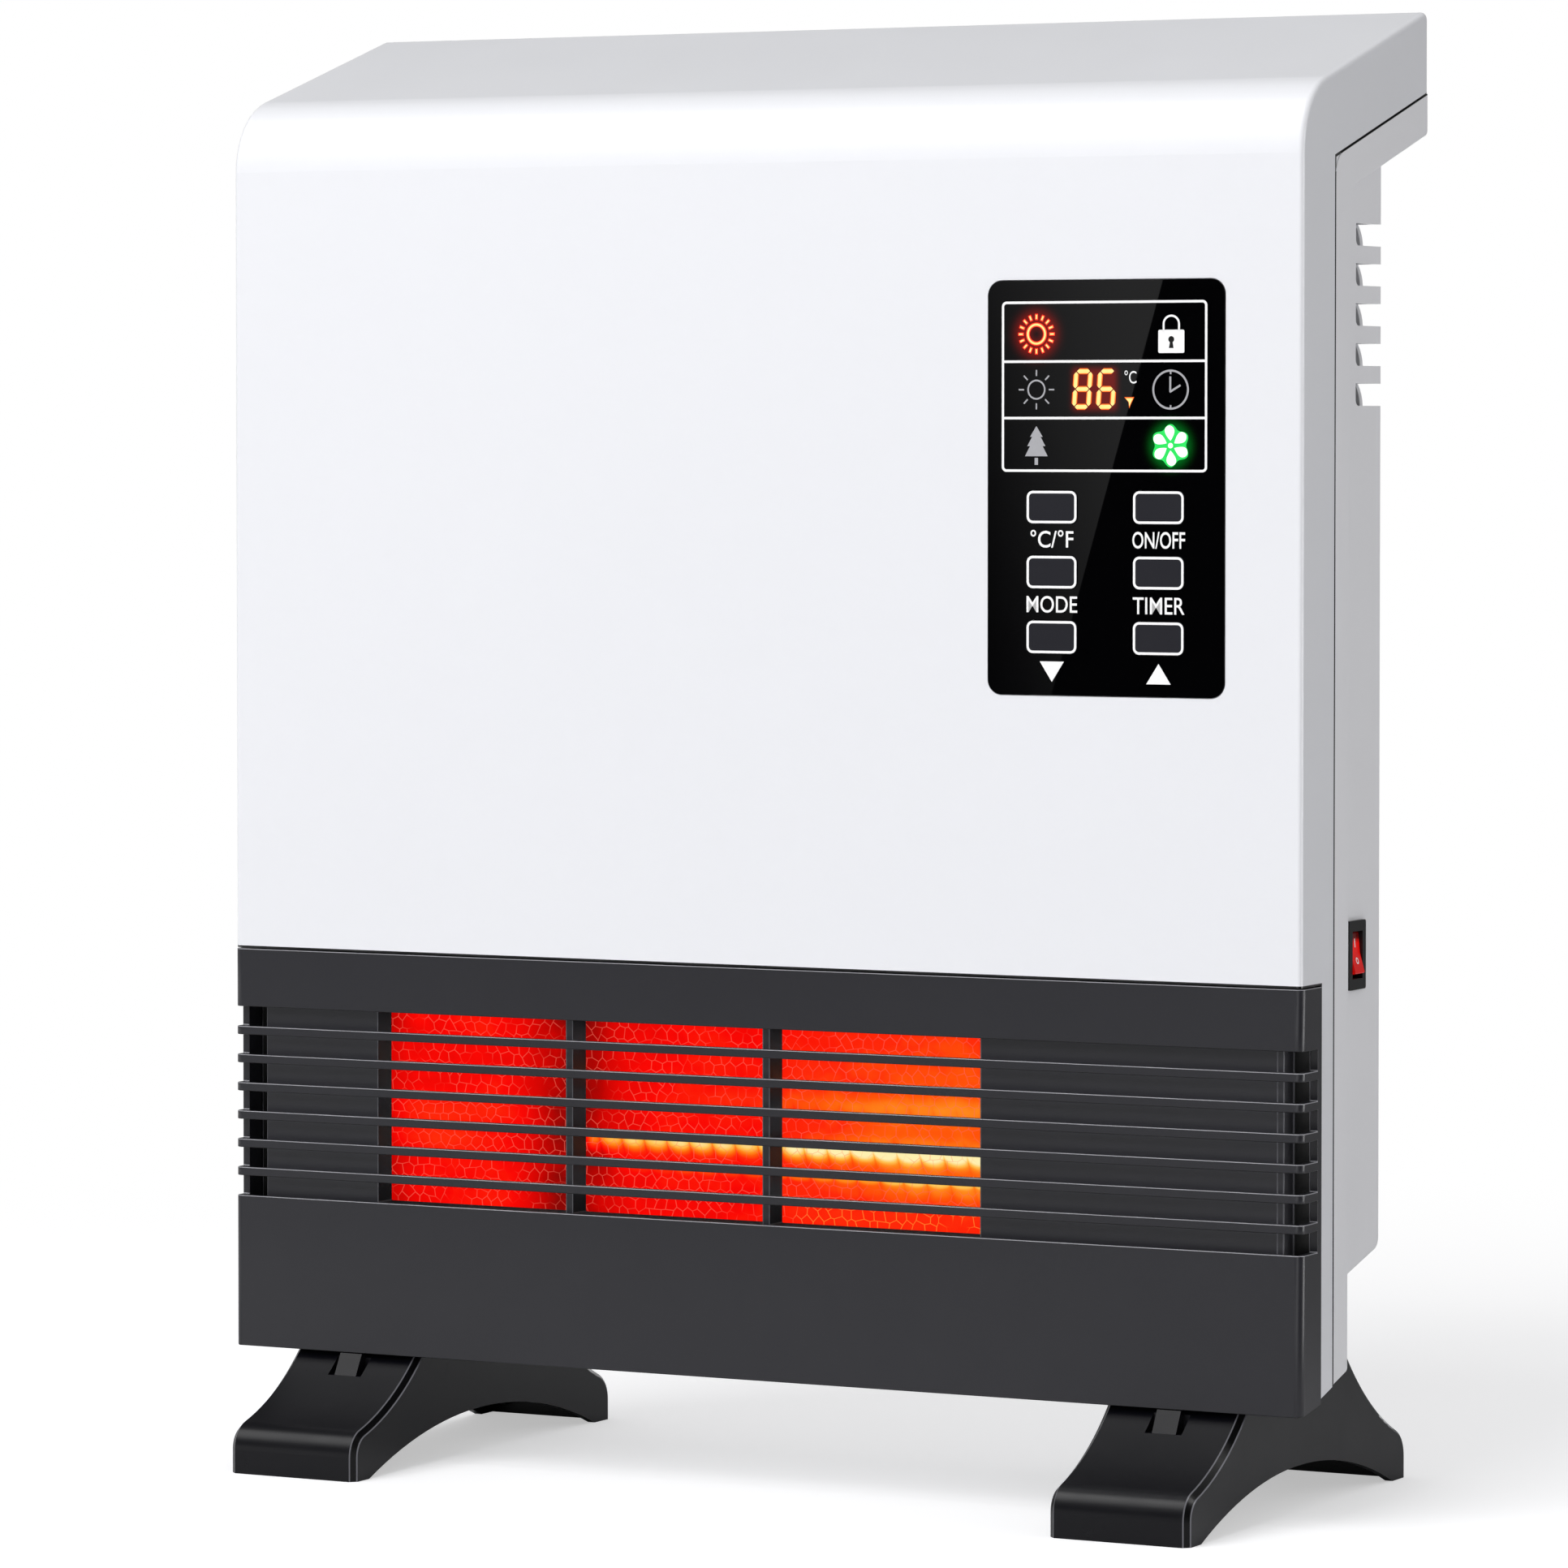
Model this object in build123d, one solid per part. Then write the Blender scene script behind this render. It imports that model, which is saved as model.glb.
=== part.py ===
"""Infrared panel heater, in millimetres.

X runs to the right, Y from the front to the back, Z up. Everything is drawn with Y = 0 on the body's
front face and Z = 0 on the floor, and save() moves it so that the origin is on the floor at the middle
of the whole heater. Heights named with _rise are measured from the lowest edge of the body.
"""
import os
from math import cos, radians, sin, tan

from build123d import *

os.makedirs("parts", exist_ok=True)

# Body profile
body_width = 370.0  # across the grille bezel
foot_height = 35.0  # floor to the body's lowest edge
hood_corner_rise = 390.8  # where the front face would meet the hood's slope
hood_slope = 16.8  # degrees
hood_reach = 95.2  # front face to the hood's back
bend_radius = 24.0  # front face into the hood
hood_edge_radius = 2.5

# Cover
cover_inset = 0.5  # cover side inside the bezel's side
cover_wall = 2.2
cover_depth = 24.0  # width of the side strip
cover_edge_radius = 1.6
seam_gap = 0.4  # between cover, frame and bezel
seam_radius = 8.7
boss_radius = 4.0
cover_boss_rises = (145.0, 285.0)

# Wall hanging keyholes in the hood's back
keyhole_spacing = 220.0
keyhole_entry_radius = 4.6
keyhole_slot_radius = 2.3
keyhole_lift = 7.5  # entry centre to slot end centre
keyhole_land = 8.6  # hood's lower back edge to the entry centre

# Frame
frame_wall = 2.2
frame_depth = 11.6
frame_hood_depth = 12.4
frame_inner_radius = 8.0
frame_edge_radius = 2.0
frame_heel_radius = 1.5
frame_side_lip = 20.0  # frame's back wall reaches this far in from the housing's side
frame_end_lip = 8.0
underside_slope = 16.3  # degrees
underside_rise = 3.8  # of the underside just behind the bezel

# Rear housing
housing_inset = 3.0  # from the cover's side
housing_wall = 2.2
housing_depth = 30.6
housing_floor_rise = 36.2
housing_floor_slope = 14.7  # degrees
housing_heel_radius = 4.0
housing_edge_radius = 0.8
housing_gap = 0.3  # under the hood
pillar_inset = 14.0  # housing side to a screw pillar's axis
pillar_radius = 4.5
pillar_rises = (62.0, 205.0, 348.0)

# Vents: notches round the back corners, and rows of slots across the back at the same heights
vent_count = 5
vent_pitch = 12.0
vent_height = 6.7
vent_top_rise = 353.5
vent_side_length = 19.6
vent_back_length = 7.7
vent_end_slant = 1.6  # the slot's end comes this much nearer to the side at its foot
vent_end_sagitta = 0.4
vent_front_radius = 2.0
intake_columns = 4
intake_rib = 12.0  # between two columns
intake_margin = 35.5  # housing side to the first column

# Grille bezel
bezel_wall = 2.4
bezel_height = 126.7
bezel_depth = 14.4
bezel_corner_radius = 2.5
bezel_heel_rise = 2.5
lower_band = 48.0
upper_band = 18.4
slat_count = 6
slat_height = 2.65
side_opening_left = 5.0
side_opening_right = 11.4

# Louvre backplate and its window
plate_front = 6.0
plate_wall = 2.0
plate_depth = 8.2
plate_end_inset = 8.2  # bezel side to the plate's end
plate_overlap = 5.5  # behind each band
plate_fit = 0.3
plate_rib_width = 2.3
plate_rib_height = 0.6
window_left_inset = 49.6  # bezel side to the window
window_right_inset = 108.6
window_drop = 0.6  # window's lower edge below the bezel's opening
window_lift = 0.8
bar_count = 2
bar_width = 2.6
last_pane_extra = 3.9  # the window's last pane is this much wider

# Screen
screen_gap = 0.2
screen_thickness = 1.6
screen_margin = 3.0

# Heating chamber
sheet = 1.0
chamber_margin = 8.0  # window edge to the chamber's side
chamber_depth = 33.5
chamber_floor_rise = 45.6
chamber_height = 68.4
chamber_flange = 4.0
tube_radius = 5.0
tube_bore = 4.0
tube_front = 29.0  # front face to the tubes' axes
tube_pitch = 24.0
tube_insertion = 8.0
filament_radius = 1.5
cap_size = 13.0
cap_length = 15.0
cap_clearance = 0.1
bracket_inset = 9.0  # chamber side to a bracket
reflector_radius = 13.0
reflector_wall = 0.8
cutout_radius = 8.0
cutout_height = 7.0

# Cross-flow fan
fan_depth = 43.0  # front face to the fan's axis
fan_rise = 170.0
fan_radius = 16.0
fan_inner_radius = 11.5
fan_blades = 16
fan_blade_thickness = 0.9
fan_disc = 1.5
fan_end_gap = 1.5
scroll_gap = 1.6
scroll_wall = 1.2
scroll_lift = 2.0  # end plates above the fan's wheel
shaft_radius = 2.0
shaft_clearance = 0.05
bush_radius = 6.0
bush_length = 7.0

# Fan motor
motor_gap = 8.0  # scroll's end to the stator
stator_thickness = 16.0
stator_width = 38.0
stator_height = 54.0
stator_bore = 11.3
rotor_air_gap = 0.5
coil_wall = 5.5
bridge_thickness = 2.5
bridge_height = 12.0

# Control panel
panel_inset = 64.25  # bezel side to the panel's middle
panel_rise = 274.2
panel_width = 77.7
panel_height = 124.0
panel_radius = 4.5
panel_recess = 0.8
overlay_thickness = 1.1
display_width = 67.5
display_height = 51.0
display_offset = 30.3  # panel centre to display centre
display_border = 2.2  # display frame to the opening behind it
key_width = 16.6
key_height = 9.8
key_radius = 2.0
key_column_pitch = 35.1
key_row_pitch = 19.45
first_key_drop = 5.7  # panel centre down to the first row
key_proud = 0.3
key_fit = 0.25
key_seat = 0.1
key_flange = 1.0
key_travel = 0.6
key_over_travel = 0.05
tact_height = 3.2
tact_size = 6.0
tact_stem_radius = 1.7
tact_stem_height = 0.8
board_thickness = 1.6
board_margin = 1.0
board_screw_inset = 4.5

# Power board
power_board_width = 120.0
power_board_height = 66.0
power_board_x = -10.0
power_board_rise = 246.0
power_board_standoff = 8.0
relay_width = 19.0
relay_height = 15.0
relay_depth = 15.0
relay_pitch = 24.0
transformer_width = 22.0
transformer_height = 28.0
transformer_depth = 20.0
capacitor_radius = 6.0
capacitor_depth = 18.0
connector_width = 24.0
connector_height = 8.0
connector_depth = 11.0
part_margin = 5.0  # board edge to its parts

# Side rocker switch
switch_depth = 46.4  # front face to the switch's middle
switch_rise = 134.0
switch_flange = 1.2
switch_width = 12.6
switch_height = 20.8
switch_rim = 0.8
switch_body_depth = 16.0
switch_well_width = 7.6
switch_well_height = 14.3
switch_well_depth = 10.7
switch_fit = 0.2
rocker_side_gap = 0.35
rocker_half = 6.3
rocker_pivot_depth = 4.0
rocker_end_height = 3.9
rocker_dip = 0.6
rocker_tilt = 10.0  # degrees from the middle, at rest with the upper end pressed in
rocker_pin_radius = 1.2
tab_width = 4.8
tab_length = 7.0
tab_thickness = 0.8

# Cord inlet and terminal block
inlet_inset = 45.0  # bezel side to the inlet's axis
inlet_rise = 66.0
inlet_radius = 6.0
inlet_bore = 3.8
inlet_flange = 2.0
terminal_width = 34.0
terminal_height = 14.0
terminal_depth = 10.0
terminal_rise = 92.0

# Tip-over switch beside the chamber
tip_depth = 31.0
tip_rise = 100.0
tip_span = 18.0
tip_width = 12.0
tip_pin_radius = 1.5
tip_arm = 22.0
tip_weight_radius = 7.0
tip_weight_thickness = 9.0

# Feet
foot_inset = 43.0  # bezel side to the foot's middle
foot_width = 45.6
foot_wall = 2.6
foot_toe = 36.0  # front face to the toe's front
foot_tail = 127.0  # front face to the tail's back
toe_height = 14.0
toe_radius = 8.5
toe_chamfer = 2.0  # along the sides of the toe and the front slope
foot_front_y = 4.5  # where the front slope meets the body
front_slope_sagitta = 3.2
tail_height = 13.3
tail_radius = 9.5
tail_edge_radius = 1.5
tail_top_y = 60.3
tail_slope_sagitta = 10.1
arch_front = 9.0  # toe's front to the arch
arch_back = 10.0
arch_height = 14.2
foot_gap = 0.2  # under the body
tongue_width = 7.8
tongue_drop = 6.8
notch_width = 12.0
notch_floor = 2.2
foot_rib = 2.4

# Fasteners
screw_radius = 1.6
screw_head_radius = 3.0
screw_head_height = 1.8
screw_clearance = 0.1
small_screw_radius = 1.1
small_head_radius = 2.3
small_head_height = 1.3

# Worked out from the sizes above
slope = radians(hood_slope)
cover_half = body_width / 2 - cover_inset
cover_bottom = foot_height + bezel_height + seam_gap
strip_front = bezel_depth + seam_gap
frame_front = cover_depth + seam_gap
frame_back = cover_depth + frame_depth
frame_drop = cover_depth + frame_hood_depth
housing_half = cover_half - housing_inset
housing_back = frame_back + housing_depth
housing_inner_back = housing_back - housing_wall
pillar_x = housing_half - pillar_inset
opening_bottom = foot_height + lower_band
opening_top = foot_height + bezel_height - upper_band
window_bottom = opening_bottom - window_drop
window_top = opening_top + window_lift
plate_back = plate_front + plate_depth
screen_front = plate_back + screen_gap
screen_back = screen_front + screen_thickness
chamber_front = screen_back + screen_gap
window_left = window_left_inset - body_width / 2
window_right = body_width / 2 - window_right_inset
bar_pitch = (window_right - window_left - last_pane_extra) / (bar_count + 1)
chamber_left = window_left - chamber_margin
chamber_right = window_right + chamber_margin
chamber_back = chamber_front + chamber_depth
chamber_bottom = foot_height + chamber_floor_rise
chamber_top = chamber_bottom + chamber_height
tube_mid_z = (window_bottom + window_top) / 2
fan_z = foot_height + fan_rise
scroll_top = fan_z + fan_radius + scroll_lift
motor_x = chamber_right + motor_gap
panel_x = body_width / 2 - panel_inset
panel_z = foot_height + panel_rise
overlay_front = panel_recess - overlay_thickness
key_back = cover_wall + key_seat + key_flange
tact_front = key_back + key_travel + key_over_travel
board_front = tact_front + tact_stem_height + tact_height
board_back = board_front + board_thickness
switch_z = foot_height + switch_rise
switch_face = housing_half + switch_flange
inlet_x = body_width / 2 - inlet_inset
foot_x = body_width / 2 - foot_inset
origin_y = (foot_tail - foot_toe) / 2


def hood_z(y, drop=0.0):
    """Height of the hood's slope at depth y, or of the line parallel to it and drop below it."""
    return foot_height + hood_corner_rise + y * tan(slope) - drop / cos(slope)


def underside_z(y):
    """Height of the body's sloping underside behind the bezel."""
    return foot_height + underside_rise + (y - bezel_depth) * tan(radians(underside_slope))


def bezel_underside_z(y):
    """Height of the bezel's underside, which rises to its heel."""
    return foot_height + bezel_heel_rise * y / bezel_depth


def housing_floor_z(y):
    """Height of the rear housing's sloping floor."""
    rise = (y - frame_back) * tan(radians(housing_floor_slope))
    return foot_height + housing_floor_rise + rise


def outline(points, radii):
    """A closed outline whose corners are rounded by one radius each."""
    return make_face(FilletPolyline(*points, radius=radii, close=True))


def side_slab(face, x0, x1):
    """A Y-Z outline carried across the heater from x0 to x1."""
    return extrude(Plane.YZ.offset(x0) * face, x1 - x0)


def front_slab(face, y0, y1):
    """An X-Z outline carried back from y0 to y1."""
    return extrude(Plane.XZ.offset(-y0) * face, y0 - y1)


def block(x0, x1, y0, y1, z0, z1):
    """A box between two corners."""
    middle = Pos((x0 + x1) / 2, (y0 + y1) / 2, (z0 + z1) / 2)
    return middle * Box(x1 - x0, y1 - y0, z1 - z0)


def rod_x(radius, x0, x1, y, z):
    """A rod across the heater."""
    return Pos((x0 + x1) / 2, y, z) * Rot(0, 90, 0) * Cylinder(radius, x1 - x0)


def rod_y(radius, y0, y1, x, z):
    """A rod from front to back."""
    return Pos(x, (y0 + y1) / 2, z) * Rot(90, 0, 0) * Cylinder(radius, y1 - y0)


def rod_z(radius, z0, z1, x, y):
    """An upright rod."""
    return Pos(x, y, (z0 + z1) / 2) * Cylinder(radius, z1 - z0)


def save(node, *shapes):
    """Write one sub-part, moved so that the origin is under the middle of the heater."""
    solids = []
    for shape in shapes:
        solids.extend((Pos(0, -origin_y, 0) * shape).solids())
    export_step(Compound(solids), f"parts/{node}.step")


def key_places():
    """Centres of the six keys, row by row from the top left."""
    places = []
    for row in range(3):
        for column in (-0.5, 0.5):
            x = panel_x + column * key_column_pitch
            places.append((x, panel_z - first_key_drop - row * key_row_pitch))
    return places


def board_screw_places():
    """Corners of the control board where it is screwed to the cover's bosses."""
    half_x = panel_width / 2 - board_screw_inset
    half_z = panel_height / 2 - board_screw_inset
    return [(panel_x + i * half_x, panel_z + j * half_z) for i in (-1, 1) for j in (-1, 1)]


def power_screw_places():
    """Corners of the power board."""
    half_x = power_board_width / 2 - board_screw_inset
    half_z = power_board_height / 2 - board_screw_inset
    z = foot_height + power_board_rise
    return [(power_board_x + i * half_x, z + j * half_z) for i in (-1, 1) for j in (-1, 1)]


def display_opening(grow=0.0):
    """Outline of the cover's opening for the display, in X and Z."""
    width = display_width - 2 * display_border + 2 * grow
    height = display_height - 2 * display_border + 2 * grow
    return Pos(panel_x, panel_z + display_offset) * Rectangle(width, height)


def key_outline(x, z, grow=0.0):
    """Outline of a key, or of the hole round it."""
    width = key_width + 2 * grow
    height = key_height + 2 * grow
    return Pos(x, z) * RectangleRounded(width, height, key_radius + max(grow, 0.0))


def keyhole(x, z):
    """Keyhole outline: a round entry below and a narrow slot above it."""
    entry = Pos(x, z) * Circle(keyhole_entry_radius)
    slot = Pos(x, z + keyhole_lift / 2) * Rectangle(2 * keyhole_slot_radius, keyhole_lift)
    end = Pos(x, z + keyhole_lift) * Circle(keyhole_slot_radius)
    return entry + slot + end


def make_front_cover():
    """The hooded cover: front skin, bend, hood, hood's back and side strips beside the bezel."""
    shell = side_slab(
        outline(
            [
                (0, cover_bottom),
                (0, hood_z(0)),
                (hood_reach, hood_z(hood_reach)),
                (hood_reach, hood_z(hood_reach, cover_depth)),
                (cover_depth, hood_z(cover_depth, cover_depth)),
                (cover_depth, underside_z(cover_depth)),
                (strip_front, underside_z(strip_front)),
                (strip_front, cover_bottom),
            ],
            [0, bend_radius, hood_edge_radius, 0, seam_radius, 0, 0, 0],
        ),
        -cover_half,
        cover_half,
    )

    def on_outer_edge(edge):
        middle = edge.center()
        on_side = abs(abs(middle.X) - cover_half) < 0.01
        return on_side and (middle.Y < 0.01 or middle.Z > hood_z(middle.Y, 0.9 * cover_depth))

    shell = fillet(shell.edges().filter_by(on_outer_edge), cover_edge_radius)
    inner_half = cover_half - cover_wall
    inner_back = hood_reach - cover_wall
    shell -= side_slab(
        outline(
            [
                (cover_wall, cover_bottom + cover_wall),
                (cover_wall, hood_z(cover_wall, cover_wall)),
                (inner_back, hood_z(inner_back, cover_wall)),
                (inner_back, foot_height),
                (strip_front, foot_height),
                (strip_front, cover_bottom + cover_wall),
            ],
            [0, bend_radius - cover_wall, 0, 0, 0, 0],
        ),
        -inner_half,
        inner_half,
    )
    for x, z in board_screw_places():
        shell += rod_y(small_head_radius + 0.8, panel_recess + 0.2, board_front, x, z)
    for side in (-1, 1):
        for rise in cover_boss_rises:
            z = foot_height + rise
            shell += rod_y(boss_radius, cover_wall / 2, frame_back - frame_wall, side * pillar_x, z)
            shell -= rod_y(screw_radius + screw_clearance, frame_front, frame_back, side * pillar_x, z)
    for x, z in board_screw_places():
        shell -= rod_y(small_screw_radius + screw_clearance, cover_wall + 1.0, board_back, x, z)
    panel = Pos(panel_x, panel_z) * RectangleRounded(
        panel_width + 2 * key_fit, panel_height + 2 * key_fit, panel_radius + key_fit
    )
    shell -= front_slab(panel, -1, panel_recess)
    shell -= front_slab(display_opening(), -1, cover_wall + 1)
    for x, z in key_places():
        shell -= front_slab(key_outline(x, z, key_fit), -1, cover_wall + 1)
    keyhole_z = hood_z(hood_reach, cover_depth) + keyhole_land
    for side in (-1, 1):
        hole = keyhole(side * keyhole_spacing / 2, keyhole_z)
        shell -= front_slab(hole, inner_back - 1, hood_reach + 1)
    return shell


def foot_screw_places():
    """Upright foot screws, two in each foot."""
    y = (strip_front + frame_back) / 2
    return [(side * foot_x + i * foot_width / 4, y) for side in (-1, 1) for i in (-1, 1)]


def make_back_frame():
    """The grey frame: side strips, underside, back wall with its opening, and the hood's underside."""
    inner_half = cover_half - frame_wall
    shell = side_slab(
        outline(
            [
                (frame_front, underside_z(frame_front)),
                (frame_front, hood_z(frame_front, frame_front)),
                (hood_reach, hood_z(hood_reach, frame_front)),
                (hood_reach, hood_z(hood_reach, frame_drop)),
                (frame_back, hood_z(frame_back, frame_drop)),
                (frame_back, underside_z(frame_back)),
            ],
            [0, seam_radius, 0, frame_edge_radius, frame_inner_radius, frame_heel_radius],
        ),
        -cover_half,
        cover_half,
    )

    def on_back_corner(edge):
        middle = edge.center()
        on_side = abs(abs(middle.X) - cover_half) < 0.01
        on_back = abs(middle.Y - frame_back) < 0.01
        under_hood = middle.Z < hood_z(middle.Y, frame_drop - 0.5) and middle.Y > frame_back
        return on_side and (on_back or under_hood)

    shell = fillet(shell.edges().filter_by(on_back_corner), housing_edge_radius)
    inner_back = frame_back - frame_wall
    inner_reach = hood_reach - frame_wall
    inner_drop = frame_drop - frame_wall
    shell -= side_slab(
        outline(
            [
                (0, underside_z(0) + frame_wall),
                (0, hood_z(hood_reach)),
                (inner_reach, hood_z(hood_reach)),
                (inner_reach, hood_z(inner_reach, inner_drop)),
                (inner_back, hood_z(inner_back, inner_drop)),
                (inner_back, underside_z(inner_back) + frame_wall),
            ],
            [0, 0, 0, 0, frame_inner_radius + frame_wall, 0],
        ),
        -inner_half,
        inner_half,
    )
    tongue_half = cover_half - cover_wall - seam_gap
    shell += side_slab(
        outline(
            [
                (strip_front, underside_z(strip_front)),
                (strip_front, underside_z(strip_front) + frame_wall),
                (inner_back, underside_z(inner_back) + frame_wall),
                (inner_back, underside_z(inner_back)),
            ],
            [0, 0, 0, 0],
        ),
        -tongue_half,
        tongue_half,
    )
    opening_half = housing_half - frame_side_lip
    shell -= block(
        -opening_half,
        opening_half,
        inner_back - 1,
        frame_back + 1,
        foot_height + housing_floor_rise + frame_end_lip,
        hood_z(frame_back, frame_drop) - frame_inner_radius - frame_end_lip,
    )
    hole = screw_radius + screw_clearance
    for x, y in foot_screw_places():
        top = underside_z(y) + 3 * frame_wall
        shell += rod_z(boss_radius, underside_z(y) + frame_wall / 2, top, x, y)
        shell -= rod_z(hole, foot_height, top + 1, x, y)
    for side in (-1, 1):
        for rise in pillar_rises + cover_boss_rises:
            z = foot_height + rise
            shell -= rod_y(hole, inner_back - 1, frame_back + 1, side * pillar_x, z)
    return shell


def vent_cutter(side, top):
    """One vent: a notch in the housing's side wall that turns the back corner into a slot with a curved end."""
    front = housing_back - vent_side_length
    low = top - vent_height
    notch = outline(
        [(front, low), (housing_back + 1, low), (housing_back + 1, top), (front, top)],
        [vent_front_radius, 0, 0, 0],
    )
    in_wall = housing_half - housing_wall - 1
    reach = housing_half + 1
    end = housing_half - vent_back_length
    slot = make_face(
        SagittaArc((side * end, top), (side * (end + vent_end_slant), low), side * vent_end_sagitta)
        + Polyline((side * (end + vent_end_slant), low), (side * reach, low))
        + Polyline((side * reach, low), (side * reach, top), (side * end, top))
    )
    walls = sorted((side * in_wall, side * reach))
    return side_slab(notch, *walls) + front_slab(slot, housing_inner_back - 1, housing_back + 1)


def make_rear_housing():
    """The vented housing behind the frame, open to the front, with screw pillars inside."""
    drop = frame_drop + housing_gap
    corner_radius = frame_inner_radius + 2 * housing_gap
    shell = side_slab(
        outline(
            [
                (frame_back, housing_floor_z(frame_back)),
                (housing_back, housing_floor_z(housing_back)),
                (housing_back, hood_z(housing_back, drop)),
                (frame_back, hood_z(frame_back, drop)),
            ],
            [0, housing_heel_radius, 0, corner_radius],
        ),
        -housing_half,
        housing_half,
    )

    def on_outer_corner(edge):
        middle = edge.center()
        on_side = abs(abs(middle.X) - housing_half) < 0.01
        return on_side and middle.Y > frame_back + 1 and middle.Z < hood_z(middle.Y, drop) - 1

    shell = fillet(shell.edges().filter_by(on_outer_corner), housing_edge_radius)
    lip_back = frame_back + housing_wall
    lip_z = hood_z(frame_back, drop) - corner_radius - housing_wall
    inner_drop = drop + housing_wall
    shell -= side_slab(
        outline(
            [
                (frame_back - 1, housing_floor_z(frame_back) + housing_wall),
                (housing_inner_back, housing_floor_z(housing_inner_back) + housing_wall),
                (housing_inner_back, hood_z(housing_inner_back, inner_drop)),
                (lip_back, hood_z(lip_back, inner_drop)),
                (lip_back, lip_z),
                (frame_back - 1, lip_z),
            ],
            [0, housing_heel_radius - housing_wall / 2, 0, corner_radius - housing_wall, 0, 0],
        ),
        housing_wall - housing_half,
        housing_half - housing_wall,
    )
    hole = screw_radius + screw_clearance
    for side in (-1, 1):
        for rise in pillar_rises:
            z = foot_height + rise
            x = side * pillar_x
            shell += rod_y(pillar_radius, frame_back, housing_inner_back + housing_wall / 2, x, z)
            shell -= rod_y(hole, frame_back - 1, housing_back + 1, x, z)
            head = screw_head_radius + screw_clearance
            shell -= rod_y(head, housing_inner_back, housing_back + 1, x, z)
    for x, z in power_screw_places():
        front = housing_inner_back - power_board_standoff
        shell += rod_y(small_head_radius + 0.8, front, housing_inner_back + housing_wall / 2, x, z)
        shell -= rod_y(small_screw_radius + screw_clearance, front - 1, housing_inner_back, x, z)
    intake_pitch = (2 * (housing_half - intake_margin) + intake_rib) / intake_columns
    for row in range(vent_count):
        top = foot_height + vent_top_rise - row * vent_pitch
        for side in (-1, 1):
            shell -= vent_cutter(side, top)
        for column in range(intake_columns):
            x = (column - (intake_columns - 1) / 2) * intake_pitch
            slot = Pos(x, top - vent_height / 2) * RectangleRounded(
                intake_pitch - intake_rib, vent_height, vent_front_radius
            )
            shell -= front_slab(slot, housing_inner_back - 1, housing_back + 1)
    half_y = switch_width / 2 - switch_rim + switch_fit
    half_z = switch_height / 2 - switch_rim + switch_fit
    shell -= block(
        housing_half - housing_wall - 1,
        housing_half + 1,
        switch_depth - half_y,
        switch_depth + half_y,
        switch_z - half_z,
        switch_z + half_z,
    )
    inlet_z = foot_height + inlet_rise
    return shell - rod_y(inlet_radius, housing_inner_back - 1, housing_back + 1, inlet_x, inlet_z)


def make_grille_bezel():
    """The charcoal bezel: two bands joined by slats that wrap both front corners."""
    half = body_width / 2
    top = foot_height + bezel_height
    shell = side_slab(
        outline(
            [
                (0, foot_height),
                (bezel_depth, foot_height + bezel_heel_rise),
                (bezel_depth, top),
                (0, top),
            ],
            [0, 0, 0, 0],
        ),
        -half,
        half,
    )
    corners = shell.edges().filter_by(Axis.Z).filter_by(lambda edge: edge.center().Y < 0.01)
    shell = fillet(corners, bezel_corner_radius)
    shell -= side_slab(
        outline(
            [
                (bezel_wall, bezel_underside_z(bezel_wall) + bezel_wall),
                (bezel_depth + 1, bezel_underside_z(bezel_depth + 1) + bezel_wall),
                (bezel_depth + 1, top - bezel_wall),
                (bezel_wall, top - bezel_wall),
            ],
            [0, 0, 0, 0],
        ),
        bezel_wall - half,
        half - bezel_wall,
    )
    gap = (opening_top - opening_bottom - slat_count * slat_height) / (slat_count + 1)
    for number in range(slat_count + 1):
        low = opening_bottom + number * (gap + slat_height)
        high = low + gap
        shell -= block(bezel_wall - half, half - bezel_wall, -1, bezel_wall + 1, low, high)
        shell -= block(-half - 1, bezel_wall - half, -1, side_opening_left, low, high)
        shell -= block(half - bezel_wall, half + 1, -1, side_opening_right, low, high)
    return shell


def make_louvre_backplate():
    """The plate behind the slats: a tray with end flanges, the recessed window and its two bars."""
    half = body_width / 2 - plate_end_inset
    flange_half = body_width / 2 - bezel_wall - plate_fit
    low = opening_bottom - plate_overlap
    high = opening_top + plate_overlap
    tray = block(-half, half, plate_front, plate_back, low, high)
    tray -= block(
        plate_wall - half,
        half - plate_wall,
        plate_front + plate_wall,
        plate_back + 1,
        low + plate_wall,
        high - plate_wall,
    )
    for side in (-1, 1):
        middle = side * (half + flange_half) / 2
        reach = (flange_half - half) / 2
        tray += block(middle - reach, middle + reach, plate_back - plate_wall, plate_back, low, high)
    tray += block(
        window_left - plate_wall,
        window_right + plate_wall,
        plate_front,
        plate_back,
        window_bottom - plate_wall,
        window_top + plate_wall,
    )
    tray -= block(
        window_left, window_right, plate_front - 1, plate_back + 1, window_bottom, window_top
    )
    for number in range(bar_count):
        x = window_left + (number + 1) * bar_pitch
        tray += block(
            x - bar_width / 2, x + bar_width / 2, plate_front, plate_back, window_bottom, window_top
        )
    tray += block(
        half - plate_rib_width, half, plate_front - plate_rib_height, plate_front, low, high
    )
    for edge_low, edge_high in ((low, low + plate_wall), (high - plate_wall, high)):
        tray += block(-half, half, bezel_wall + plate_fit, plate_front, edge_low, edge_high)
    return tray


def make_honeycomb_screen():
    """The screen that glows behind the window."""
    return block(
        window_left - screen_margin,
        window_right + screen_margin,
        screen_front,
        screen_back,
        window_bottom - screen_margin,
        window_top + screen_margin,
    )


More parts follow.
